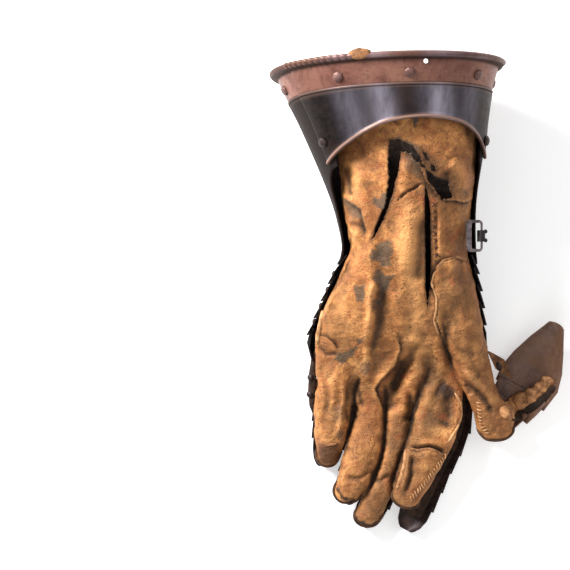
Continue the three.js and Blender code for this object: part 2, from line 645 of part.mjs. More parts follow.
// The thumb's long leaf, the lame below it and its tip plate.
function thumbPlates() {
  const path = measured(THUMB_ARMOUR);
  const plates = {};
  for (const [name, places] of Object.entries(THUMB_PLATES)) {
    const stations = places.map((place) => ({ ...place, spread: rowAt(path, "along", place.along).curl }));
    plates[name] = channelPlate(path, stations, THUMB_WALL, 8);
  }
  plates.thumb_tip_plate = roundedPlate(path, THUMB_TIP_START, THUMB_WALL, 8);
  return plates;
}

// ---- The glove ----

// How far the palm's leather is raised or sunk by its folds at a place in the plan.
function foldHeight(x, y) {
  let height = 0;
  for (const fold of FOLDS) {
    const from = new THREE.Vector3(fold.x1, fold.y1, 0);
    const to = new THREE.Vector3(fold.x2, fold.y2, 0);
    const place = new THREE.Vector3(x, y, 0);
    const near = new THREE.Line3(from, to).closestPointToPoint(place, true, new THREE.Vector3());
    const distance = near.distanceTo(place);
    height += fold.height * Math.exp(-((distance / fold.width) ** 2));
  }
  return height;
}

// The hand and sleeve, drawn in by inset. The sleeve's end is moved by reach so that the hollow runs out.
function handSolid(inset, reach) {
  const around = 24;
  const rows = 15;
  const rings = [];
  const first = HAND[0].y + inset;
  const last = HAND[HAND.length - 1].y + reach;
  for (let r = 0; r <= rows; r++) {
    const y = mix(first, last, r / rows);
    const section = { ...rowAt(HAND, "y", y), y };
    const ring = [];
    for (let i = 0; i < around; i++) {
      const angle = (360 * i) / around;
      const p = sectionPoint(section, angle, -inset);
      p.z += foldHeight(p.x, p.y) * Math.max(0, Math.sin(radians(angle)));
      ring.push(p);
    }
    rings.push(ring);
  }
  const endOf = (ring) => flatEnd(ring.map((p) => new THREE.Vector2(p.x, p.z)));
  return skin(rings, endOf(rings[0]), endOf(rings[rows]));
}

// A finger of the glove, drawn in by inset, with a rounded tip.
function fingerSolid(rows, inset) {
  const path = measured(rows);
  const around = 10;
  const steps = 6;
  const turns = Array.from({ length: around }, (_, i) => (2 * Math.PI * i) / around);
  const body = lengthOf(path) - inset;
  const rounding = [0.5, 0.88];
  const stations = [];
  for (let i = 0; i <= steps; i++) stations.push({ along: mix(0, body, i / steps), scale: 1 });
  for (const r of rounding) stations.push({ along: body, scale: Math.sqrt(1 - r * r), beyond: r });
  const rings = stations.map(({ along, scale, beyond = 0 }) => {
    const frame = frameAt(path, along);
    const { halfWidth, halfHeight } = frame.here;
    return turns.map((turn) =>
      frame.at
        .clone()
        .addScaledVector(frame.side, (halfWidth - inset) * scale * Math.cos(turn))
        .addScaledVector(frame.up, (halfHeight - inset) * scale * Math.sin(turn))
        .addScaledVector(frame.forwards, (halfHeight - inset) * beyond),
    );
  });
  const end = flatEnd(turns.map((turn) => new THREE.Vector2(Math.cos(turn), Math.sin(turn))));
  return skin(rings, end, end);
}

// A block under a tear's outline, which reaches through the palm's side of the glove alone.
function tearBlock(outline) {
  const shape = new THREE.Shape(outline.map(({ x, y }) => new THREE.Vector2(x, y)));
  const block = new THREE.ExtrudeGeometry(shape, { depth: TEAR_DEPTH, bevelEnabled: false });
  block.translate(0, 0, TEAR_FLOOR);
  return solidOf(block);
}

// The glove's hand with its sleeve, its front part over the knuckles, and its fingers and thumb.
function glovePieces() {
  let outside = handSolid(0, 0);
  let inside = handSolid(GLOVE_WALL, 4);
  for (const rows of Object.values(LEATHER)) {
    outside = outside.add(fingerSolid(rows, 0));
    inside = inside.add(fingerSolid(rows, GLOVE_WALL));
  }
  let whole = outside.subtract(inside);
  for (const outline of Object.values(TEARS)) whole = whole.subtract(tearBlock(outline));
  const above = (y) => whole.trimByPlane([0, 1, 0], y);
  const below = (solid, y) => solid.trimByPlane([0, -1, 0], GAP - y);
  const largest = (solid) => solid.decompose().sort((a, b) => b.volume() - a.volume())[0];
  const fingersY = HAND[0].y - 0.5;
  const pieces = {
    glove_hand: largest(above(KNUCKLE_CUT_Y)),
    glove_knuckles: largest(below(above(fingersY), KNUCKLE_CUT_Y)),
  };
  const fingers = below(whole, fingersY).decompose();
  fingers.sort((a, b) => a.boundingBox().min[0] - b.boundingBox().min[0]);
  for (const name of ["little", "ring", "middle", "index", "thumb"]) {
    pieces[`glove_${name}`] = fingers.shift();
  }
  return pieces;
}

// ---- Fittings ----

// A round-headed rivet, with its foot at the origin and its head along +Y.
function rivetHead(radius, height) {
  const outline = [
    new THREE.Vector2(0, 0),
    new THREE.Vector2(radius, 0),
    new THREE.Vector2(0.86 * radius, 0.55 * height),
    new THREE.Vector2(0.5 * radius, 0.9 * height),
    new THREE.Vector2(0, height),
  ];
  return new THREE.LatheGeometry(outline, 7);
}

// Sets a rivet's head on the armour at a place y and an angle round the arm, a distance out from its surface.
function armRivet(y, angle, out) {
  const at = (angleHere) => sectionPoint(rowAt(ARMOUR, "y", y), angleHere, out);
  const along = at(angle + 1).sub(at(angle - 1)).normalize();
  const up = sectionPoint(rowAt(ARMOUR, "y", y + 2), angle, out).sub(at(angle)).normalize();
  const outwards = up.cross(along).normalize();
  const turn = new THREE.Quaternion().setFromUnitVectors(new THREE.Vector3(0, 1, 0), outwards);
  const head = rivetHead(RIVET_RADIUS, RIVET_HEIGHT).applyQuaternion(turn);
  head.translate(...at(angle).toArray());
  return solidOf(head);
}

function bandRivet(angle) {
  const onInner = angle < SEAM_LITTLE && angle > SEAM_THUMB;
  const lift = onInner ? CUFF_WALL + GAP : 0;
  return armRivet(mouthY(angle) - RIVET_DROP, angle, lift - BAND_DEPTH + GAP);
}

// The hasp's strip in its side view. It runs up outside the cuff to a loop round the buckle's hinge bar.
const HASP_STRIP = [
  { x: 61.1, z: 50 },
  { x: 62.2, z: 50 },
  { x: 62.2, z: 63 },
  { x: 64.2, z: 70.5 },
  { x: 64.3, z: 72.6 },
  { x: 63.1, z: 72.6 },
  { x: 62.9, z: 71 },
  { x: 61.1, z: 63.6 },
];

// The hasp, with two knobs on its loop.
function buckleHasp() {
  const outer = HASP_BORE + HASP_WALL;
  const outline = new THREE.Shape(HASP_STRIP.map(({ x, z }) => new THREE.Vector2(x, z)));
  const strip = new THREE.ExtrudeGeometry(outline, { depth: HASP_WIDTH, bevelEnabled: false });
  strip.rotateX(Math.PI / 2).translate(0, BUCKLE.y + HASP_WIDTH / 2, 0);
  const round = (radius, length) =>
    new THREE.CylinderGeometry(radius, radius, length, 16).translate(BUCKLE.x, BUCKLE.y, BUCKLE.z);
  const loop = round(outer, HASP_WIDTH);
  const bore = round(HASP_BORE, 2 * HASP_WIDTH);
  const knob = (side) => {
    const ball = new THREE.SphereGeometry(1.5, 7, 5);
    return ball.translate(BUCKLE.x + outer + 0.3, BUCKLE.y + side * (HASP_WIDTH / 2 - 0.9), BUCKLE.z - 0.4);
  };
  return [loop, knob(-1), knob(1)]
    .reduce((made, piece) => made.add(solidOf(piece)), solidOf(strip))
    .subtract(solidOf(bore));
}

// A rectangle with round corners.
function roundedRectangle(path, left, right, bottom, top, radius) {
  path.moveTo(left + radius, bottom);
  path.absarc(right - radius, bottom + radius, radius, -Math.PI / 2, 0);
  path.absarc(right - radius, top - radius, radius, 0, Math.PI / 2);
  path.absarc(left + radius, top - radius, radius, Math.PI / 2, Math.PI);
  path.absarc(left + radius, bottom + radius, radius, Math.PI, 1.5 * Math.PI);
  return path;
}

// The buckle: a hinge bar, two ends and a broad flat bar that the strap is pulled over.
function buckleFrame() {
  const left = BUCKLE.x - BUCKLE_REACH;
  const right = BUCKLE.x + HINGE_BAR / 2;
  const bottom = BUCKLE.y - BUCKLE_LENGTH / 2;
  const top = BUCKLE.y + BUCKLE_LENGTH / 2;
  const outline = roundedRectangle(new THREE.Shape(), left, right, bottom, top, BUCKLE_CORNER);
  const window = [left + STRAP_BAR, right - HINGE_BAR, bottom + BUCKLE_ARM, top - BUCKLE_ARM];
  outline.holes.push(roundedRectangle(new THREE.Path(), ...window, 1));
  const settings = { depth: BUCKLE_DEPTH, bevelEnabled: false, curveSegments: 4 };
  const frame = new THREE.ExtrudeGeometry(outline, settings);
  return solidOf(frame.translate(0, 0, BUCKLE.z - BUCKLE_DEPTH / 2));
}

// The leather tab that ties the thumb's leaf to the side of the leather thumb.
function thumbTab() {
  const rings = TAB.map(({ x, y, z, halfWidth }) => [
    new THREE.Vector3(x - 3, y + halfWidth, z),
    new THREE.Vector3(x + 3, y - halfWidth, z),
    new THREE.Vector3(x + 3, y - halfWidth, z + TAB_WALL),
    new THREE.Vector3(x - 3, y + halfWidth, z + TAB_WALL),
  ]);
  return skin(rings, stripEnd(1), stripEnd(1));
}

// ---- The assembly ----

const blackened = new THREE.MeshStandardMaterial({ color: 0x2f2a2a, roughness: 0.45, metalness: 0.9 });
const russet = new THREE.MeshStandardMaterial({ color: 0x5a3a32, roughness: 0.6, metalness: 0.6 });
const buff = new THREE.MeshStandardMaterial({ color: 0xb07a45, roughness: 0.85, metalness: 0 });

const gauntlet = new THREE.Group();

function place(name, solid, material) {
  const mesh = new THREE.Mesh(geometryOf(solid), material);
  mesh.name = name;
  gauntlet.add(mesh);
}

place("outer_cuff_plate", outerCuffPlate(), blackened);
place("inner_cuff_plate", innerCuffPlate(), blackened);
RIVET_ANGLES.forEach((angle, i) => place(`band_rivet_${i + 1}`, bandRivet(angle), blackened));
for (const [side, { y, angle }] of Object.entries(SEAM_RIVETS)) {
  place(`seam_rivet_${side}`, armRivet(y, angle, CUFF_WALL + 2 * GAP), blackened);
}
for (let i = 0; i < LAME_COUNT; i++) place(`wrist_lame_${i + 1}`, wristLame(i), blackened);
place("knuckle_plate", knucklePlate(), russet);
for (const [finger, rows] of Object.entries(SCALES)) {
  for (const [name, plate] of Object.entries(fingerPlates(finger, rows))) place(name, plate, russet);
}
place("index_strap", fingerStrap(SCALES.index), buff);
for (const [name, plate] of Object.entries(thumbPlates())) place(name, plate, russet);
place("thumb_tab", thumbTab(), buff);
for (const [name, piece] of Object.entries(glovePieces())) place(name, piece, buff);
place("buckle_hasp", buckleHasp(), blackened);
place("buckle_frame", buckleFrame(), blackened);

const box = new THREE.Box3().setFromObject(gauntlet);
const middle = box.getCenter(new THREE.Vector3());
gauntlet.position.set(-middle.x, -middle.y, -box.min.z);

export default gauntlet;
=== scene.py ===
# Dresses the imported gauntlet: a torn buff leather glove, a cuff with a turned and roped rim, browned and
# blackened plates, stitches, and soft studio light. Sizes and tables are in millimetres in the part's working
# frame: +X towards the thumb, +Y towards the mouth of the cuff, +Z up out of the palm. Angles are in degrees,
# and those round the arm start at the thumb's side and go over the palm.

import json
import math
import random

import bmesh
import bpy
import numpy as np
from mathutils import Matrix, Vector, noise
from mathutils.bvhtree import BVHTree


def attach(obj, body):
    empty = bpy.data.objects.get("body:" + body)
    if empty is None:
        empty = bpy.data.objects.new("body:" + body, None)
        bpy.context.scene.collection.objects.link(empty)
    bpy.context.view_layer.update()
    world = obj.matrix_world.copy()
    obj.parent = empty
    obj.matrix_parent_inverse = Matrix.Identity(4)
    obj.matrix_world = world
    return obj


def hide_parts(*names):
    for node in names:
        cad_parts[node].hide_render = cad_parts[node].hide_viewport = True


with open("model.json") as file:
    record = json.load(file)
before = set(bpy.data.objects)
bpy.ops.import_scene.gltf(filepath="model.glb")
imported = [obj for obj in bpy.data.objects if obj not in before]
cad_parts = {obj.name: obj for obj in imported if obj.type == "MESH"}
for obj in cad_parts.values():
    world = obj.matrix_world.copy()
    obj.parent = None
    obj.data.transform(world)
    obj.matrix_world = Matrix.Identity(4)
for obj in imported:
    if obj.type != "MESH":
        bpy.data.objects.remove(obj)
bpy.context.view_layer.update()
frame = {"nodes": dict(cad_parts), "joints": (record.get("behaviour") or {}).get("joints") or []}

MM = 0.001
HINGE = (63.8, 39.2, 74.4)  # the buckle's hinge in the working frame
hinge_m = next(joint["pos_m"] for joint in frame["joints"] if joint["name"] == "buckle_swing")
ORIGIN = Vector(hinge_m) - Vector(HINGE) * MM


def metres(points):
    """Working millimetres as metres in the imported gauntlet's frame."""
    return np.asarray(points, float) * MM + np.array(ORIGIN)


# ---- Sizes ----

GAP = 0.35  # between pieces that lie close together

CUFF_WALL = 1.4
MOUTH_Y = 157  # the middle of the cuff's mouth
MOUTH_LEAN = 9.8  # how much further it reaches over the palm
MOUTH_SKEW = 4  # how much further it reaches at the thumb's side
RIM_BEAD = 2.4  # radius of the turned rim
RIM_OUT = 1.4  # how far outside the plate the middle of the bead lies
ROPED = (99, 150)  # the stretch of the rim that is roped, as angles round the arm
ROPE_HEIGHT = 0.22
ROPE_WORN = 0.12  # share of that height which is left on the rest of the rim
ROPE_RIDGES = 100  # in a full turn round the arm
ARCH_BEAD = 1.3  # radius of the inner plate's rounded lower edge
BAND_DEPTH = 0.8
BAND_WIDTH = 22
STEP_WIDTH = 2.3  # of the moulded line under the band
SEAM_LITTLE = 146  # where the two plates meet, as angles round the arm
SEAM_THUMB = 8
SEAM_LAP = 8
HOLE = (24, 160, 125)  # the empty rivet hole near the inner plate's rim
HOLE_RADIUS = 1.6
HOLE_DEPTH = 20
MOUTH_X = -4.2  # middle and half width of the mouth, to place the scrap of lining
MOUTH_HALF_WIDTH = 82
SCRAP = (-27, -13)  # where the scrap starts and ends, as x
SCRAP_FADE = (-27.6, 15.2)  # where its fullness starts, and the length over which it rises and falls

GLOVE_WALL = 1.8
GLOVE_VOXEL = 1.0
HAND_SIDES = 120
HAND_ROWS = 110
HAND_FRONT = 10  # how far the hand's rounded front reaches past its first section
FINGER_SIDES = 28
FINGER_ROWS = 40
TEAR_STEP = 1.6  # between the points of a torn edge
TEAR_TOP = 130  # heights that the cuts through the palm's leather reach
TEAR_BOTTOM = 60
SEAM_BOTTOM = 50
CREASE_HEIGHT = 1.6  # factors on the table of creases
RIDGE_WIDTH = 1.4
VALLEY_WIDTH = 0.9
FINGER_GAP_DEPTH = 3.2
FINGER_GAP_WIDTH = 1.9

# ---- Tables ----

# Outside of the armour across the arm: y, middle x, middle z, half width, half height, roundness.
ARMOUR = [
    (-56, 7.5, 26, 61, 20.0, 2.5),
    (-45, 6.5, 27, 62.5, 22.0, 2.5),
    (-32, 5.0, 30, 64, 25.2, 2.5),
    (-20, 6.9, 36, 61.5, 29.0, 2.4),
    (0, 9.7, 46, 56, 31.0, 2.3),
    (15, 11.4, 54, 51.5, 32.0, 2.2),
    (27, 13.4, 59, 47.2, 33.0, 2.1),
    (52, 11.1, 62, 48.9, 37.5, 2.1),
    (71, 8.6, 63, 52.7, 40.5, 2.1),
    (97, 5.2, 63.5, 60.2, 45.5, 2.1),
    (120, 1.1, 63.4, 66.6, 51.6, 2.1),
    (140, -2.6, 63.6, 73.4, 58, 2.1),
    (155, -3.6, 64.2, 78.5, 62.6, 2.1),
    (170, -4.5, 65.4, 83.0, 64.4, 2.1),
]

# Painted highlights on the cuff, as soft streaks of reflection: angle round the arm, width and strength.
PAINTED_SHEEN = [(93, 6, 0.8), (62, 9, 1.0), (112, 9, 0.35), (40, 8, 0.4), (250, 30, 0.5)]

# Lower edge of the inner cuff plate: angle round the arm, y.
ARCH = [
    (5, 92), (18, 101), (34, 112.5), (48, 119), (70, 122.5), (91, 119.5), (105, 113), (121, 104), (135, 96),
    (147, 89),
]

# Free edge of the outer cuff plate: angle, y.
WRIST_EDGE = [
    (138, 88), (148, 84), (159, 72), (165, 56), (171, 34), (178, 21), (200, 20), (340, 20), (354, 21),
    (361, 33), (364, 54), (369, 84), (376, 92),
]

# Outside of the glove's hand and sleeve: y, middle x, middle z, half width, half height, roundness.
HAND = [
    (-70, 0.5, 20.5, 44, 6.5, 2.4),
    (-62, 0, 22, 50, 8, 2.4),
    (-52, 0.5, 24.5, 53, 10.5, 2.4),
    (-41, 3.2, 27.5, 55.5, 15, 2.3),
    (-27, 6.2, 34, 57.5, 21, 2.3),
    (-6, 9.2, 45, 52.5, 23, 2.2),
    (15, 11.6, 54, 46, 24.5, 2.1),
    (29, 13, 60, 41, 26, 2.1),
    (45, 12.4, 62, 43, 28, 2.1),
    (61, 11.8, 63.5, 45.2, 31, 2.1),
    (89, 12, 64, 47.5, 36, 2.1),
    (112, 11.5, 64, 50, 39.5, 2.1),
    (134, 10.5, 64, 52, 42, 2.1),
]

# Leather fingers and thumb from the root to the tip: x, y, middle z, half width, half height.
LEATHER = {
    "little": [
        (-34, -38, 26, 11.6, 9.6), (-36.6, -58, 24.2, 13, 9.4), (-39.2, -80, 16.6, 14, 9),
        (-40.4, -95, 13.6, 12.4, 8.6), (-42.4, -108, 12.6, 9.8, 7.6), (-44, -116.5, 12.2, 7.4, 6.4),
    ],
    "ring": [
        (-10, -40, 21, 12, 10.5), (-12.4, -60, 17.5, 12, 10), (-13, -78, 16, 11.6, 9.6),
        (-14, -94, 15.8, 11.8, 9.2), (-18, -111, 16.8, 12.8, 9), (-24.2, -128, 17.2, 12, 8.6),
        (-29.8, -141, 16.2, 9.6, 7.2),
    ],
    "middle": [
        (13, -40, 21, 11.5, 10.5), (11.6, -60, 17.4, 11.6, 9.6), (7.6, -80, 15.4, 11.2, 8.4),
        (5.4, -97, 14.8, 10, 8), (2, -114, 14.2, 8.8, 7.8), (-4.4, -132, 13.2, 8.9, 7.8),
        (-10.4, -148, 12, 9.8, 7.6), (-16, -158, 11.2, 9.2, 6.6),
    ],
    "index": [
        (36, -40, 25, 12, 10.5), (36.6, -60, 22.5, 14.4, 9.6), (35, -79, 21.5, 16.6, 8.8),
        (31.4, -97, 21, 16.4, 8.4), (24.8, -114, 20.4, 15.2, 8), (17.6, -131, 19.4, 12.8, 7.2),
        (11.6, -145.5, 18.4, 9.6, 6),
    ],
    "thumb": [
        (46, 4, 50, 14, 14), (50, -20, 44, 14.5, 14), (55, -40, 37, 13.5, 12), (61, -60, 29.5, 11.6, 10),
        (67.6, -78, 23, 11.2, 8.4), (75, -91, 18.6, 14, 7.4), (77, -98, 16.4, 11, 6.2),
    ],
}

# Straight folds of the palm's leather: x1, y1, x2, y2, width, height. A valley's height is below 0.
FOLDS = [
    (-12, 2, -17, -58, 4.5, 3.2),
    (14, -34, -6, -60, 5, 3.4),
    (22, -30, 4, -66, 4, -3.0),
    (32, -8, 36, -52, 5, 2.6),
    (-34, 30, -44, -14, 4.5, 2.6),
    (-26, 28, -38, -10, 3.5, -2.4),
    (-6, 40, -8, -4, 4, -2.0),
    (44, 18, 52, -36, 5, 3.0),
    (24, 52, 30, 4, 4, -2.4),
]

# Places where the palm's leather is torn or its seam has opened, as outlines of x, y.
TEARS = {
    "wrist_tear": [
        (-1.5, 106), (5, 106.5), (15, 102), (21, 94), (24.5, 86), (20, 88), (14, 96), (7.5, 97.5),
        (5.5, 86), (2, 70), (-3, 55), (-11, 38), (-13.5, 36.5), (-9, 48), (-4, 62), (-1.5, 80),
    ],
    "side_tear": [(24.5, 86), (31.5, 80), (40, 77.5), (44, 66), (36, 63.5), (32, 69), (26, 75)],
    "open_seam": [
        (24, 76), (27.5, 62), (28.4, 30), (28.2, 4), (26.2, -12), (24.6, 4), (24.4, 30), (23.8, 60),
    ],
    "ragged_hole": [(22, 98), (25, 96.5), (27, 91), (24.5, 91.5)],
    "small_hole": [(28, 89), (31, 87.5), (32, 83.5), (28.5, 84.5)],
    "cuff_split": [(16, 124), (19.4, 123), (18.6, 119), (16.8, 114.5), (15.6, 119)],
}

# How far the edges of the worst tears wander, where the others' wander by 0.45.
RAGGED = {"wrist_tear": 1.0, "side_tear": 1.0}

# Narrow ridges and valleys of the leather: width, height, and the run as x, y.
CREASES = [
    (3.4, 1.8, [(-29.4, 99.4), (-23.1, 81.9), (-20.3, 64.4), (-14.7, 43.4)]),
    (3, -1.5, [(-32.9, 91), (-28, 71.4), (-26.6, 64.4)]),
    (2.4, 1.8, [(-22.4, 46.2), (-28, 30.8), (-37.8, 16.8)]),
    (2.2, -1.6, [(-28, 23.8), (-34.3, 11.9), (-39.9, -1.4)]),
    (2, 1.6, [(-31.5, 21), (-40.6, 6.3), (-49, -24.5)]),
    (2.2, 1.4, [(-33.6, 38.5), (-39.9, 27.3), (-42, 15.4)]),
    (2, -1.3, [(-36.4, 33.6), (-42.7, 21)]),
    (2.6, 1.7, [(-11.2, 8.4), (-14, -4.2), (-12.6, -14.7), (-18.2, -26.6)]),
    (4, -1.2, [(-3, 12), (-4.9, -2.8), (-5.6, -18.2), (-9.8, -32.2), (-12, -48)]),
    (2, -1.2, [(-50.4, -38.5), (-43.4, -44.1), (-35, -42)]),
    (6, -2.6, [(9.8, -42), (7, -56), (1.4, -70), (-1.4, -84)]),
    (3, 1.4, [(21, -26.6), (17.5, -42), (19.6, -56), (14, -72.1)]),
    (5, -0.9, [(16, 8), (14, -5.6), (12.6, -23.1), (15.4, -44), (20, -60)]),
    (3, 1.2, [(7, 1.4), (4.9, -14), (8.4, -26.6)]),
    (2.4, -1.2, [(-21.7, -58.1), (-22.4, -65.8), (-20.3, -70.7), (-17.5, -81.2)]),
    (2.6, -1.3, [(-29.4, -65.8), (-30.8, -81.2), (-28.7, -92.4)]),
    (2.4, 1, [(-36.4, -56), (-40.6, -70), (-42, -82.6)]),
    (3, -2.2, [(14.7, -70), (14.7, -82.6), (12.6, -92.4)]),
    (3.2, 1.2, [(23.8, -61.6), (25.2, -75.6), (21, -89.6), (23.8, -103.6)]),
    (2, -2.2, [(14.7, -109.2), (21, -110.6), (28, -109.2), (35, -112), (39.2, -116.2)]),
    (1.8, 1.6, [(14, -109.2), (13.3, -124.6), (7.7, -140)]),
    (1.8, -1.6, [(16.8, -114.1), (15.4, -127.4), (10.5, -140)]),
    (2.6, 1.6, [(43.4, -67.2), (49.7, -71.4), (51.8, -82.6), (46.2, -99.4), (37.8, -109.2)]),
    (5, -1.6, [(40.6, -74.2), (42, -86.1), (37.8, -98)]),
    (2.6, -1.0, [(40.6, -63), (35, -70), (32.2, -75.6)]),
    (3.4, 1.4, [(42, 8.4), (41.3, -9.1), (43.4, -26.6), (47.6, -40.6)]),
    (4.5, -0.8, [(47.6, 8), (46.9, -16.1), (51.7, -43.6)]),
    (2.6, 1.9, [(50.4, -51.8), (60.2, -63), (68.6, -70.7), (77.7, -81.9)]),
    (3, -1.8, [(50.4, -60.2), (58.8, -70), (65.8, -77), (71.4, -86.8)]),
    (2.4, 1.2, [(56, -19.6), (60.9, -37.1), (65.8, -54.6)]),
    (3.6, 1.8, [(42, 92.4), (46.9, 84), (53.2, 71.4)]),
    (3, -1.4, [(37.8, 84), (40.6, 74.9)]),
    (1.4, -0.9, [(30.8, 60.9), (30.8, 39.9), (32.2, 21)]),
    (4, 1.6, [(9.8, 93.8), (9.1, 78.4), (7, 64.4)]),
    (1.2, -1.2, [(4.9, 64.4), (10.5, 68.6), (16.8, 71.4), (21, 75.6)]),
    (5, 1.4, [(12.6, 60.9), (14.7, 36.4), (11.2, 11.9)]),
    (5, -1.2, [(20.3, 53.9), (21, 29.4), (19.6, 4.9)]),
    (5, -1, [(4.2, 53.9), (1.4, 32.9), (4.2, 11.9)]),
    (2.2, -1.4, [(53.2, -65.8), (56, -74.2)]),
    (3, -1.6, [(28, -50), (24, -64), (20, -78)]),
    (2.6, -1.0, [(-48, -52), (-46, -62), (-44, -76), (-46, -96)]),
    (2, 1.6, [(-33, -60), (-32, -76), (-34, -92), (-38, -104)]),
    (2, -1.2, [(36, -20), (40, -38), (44, -52)]),
    (2, 1.5, [(-36.2, 38.7), (-26.8, 50.4), (-18.7, 49.2)]),
    (3, 1.3, [(-14, 34), (-16.3, 13.1), (-14, -3)]),
    (2, 1.4, [(-33.8, 36.4), (-39.7, 22.4), (-42, 10)]),
    (2, -1.2, [(-25.7, 40), (-33.8, 24.7), (-37, 8)]),
    (2.4, 1.3, [(-22, 84), (-24, 72), (-30, 60), (-38, 54)]),
    (2, -1.0, [(-12, -126), (-22, -132), (-32, -131)]),
    (2, -1.0, [(2, -128), (-6, -134), (-12, -134)]),
]

# Gaps between the fingers, from the palm to the tips.
FINGER_GAPS = [
    [(-22.6, -58), (-23.4, -66), (-24.4, -80), (-26.4, -96), (-30, -110), (-34, -122)],
    [(-5, -60), (-2.4, -70), (-2.8, -82), (-2.4, -98), (-6, -116), (-12, -134), (-17, -148)],
    [(22, -62), (19.6, -72), (17.6, -84), (14.2, -98), (9, -116), (4, -130), (0.4, -146)],
]

# Edges where one layer lies over another: width, height, and the run as x, y. The left of the run is on top,
# or the right of it where the height is below 0.
LAPS = [
    (5, 1.8, [(-34.3, 67.2), (-27.3, 61.6), (-21.7, 56.7), (-20.3, 51.8), (-17.5, 43.4), (-18.2, 37.1)]),
    (4, -1.5, [(-53.2, -30.8), (-44.8, -32.2), (-39.9, -35.7), (-35, -40.6)]),
    (7, -2.6, [
        (4.2, -26.6), (7, -39.2), (2.8, -52.5), (-7, -61.6), (-9.8, -67.2), (-6.3, -77), (-4.2, -86.8),
    ]),
    (6, -2, [
        (49.7, -58.8), (44.8, -52.5), (42, -43.4), (39.2, -37.1), (35, -28), (32.2, -21), (33.6, -12.6),
        (33.6, -4.9), (29.4, 5.6), (30.8, 13.3), (35.7, 21), (45.5, 23.1), (58.1, 18.2),
    ]),
    (6, 2.2, [(35.7, 65.1), (39.9, 63.7), (45.5, 64.4), (51.1, 63), (57.4, 63.7)]),
    (5, -1.2, [(23.8, 74.2), (25.2, 57.4), (25.9, 36.4), (25.2, 21), (26.6, 1.4), (27.3, -15.4)]),
    (4, -2.4, [(-1.5, 100), (-1.5, 80), (-3.5, 64), (-8, 50), (-12, 40)]),
    (3, 1.8, [(8, 97), (15, 95.5), (20.5, 87), (25, 76), (32, 68), (36, 63.5)]),
]
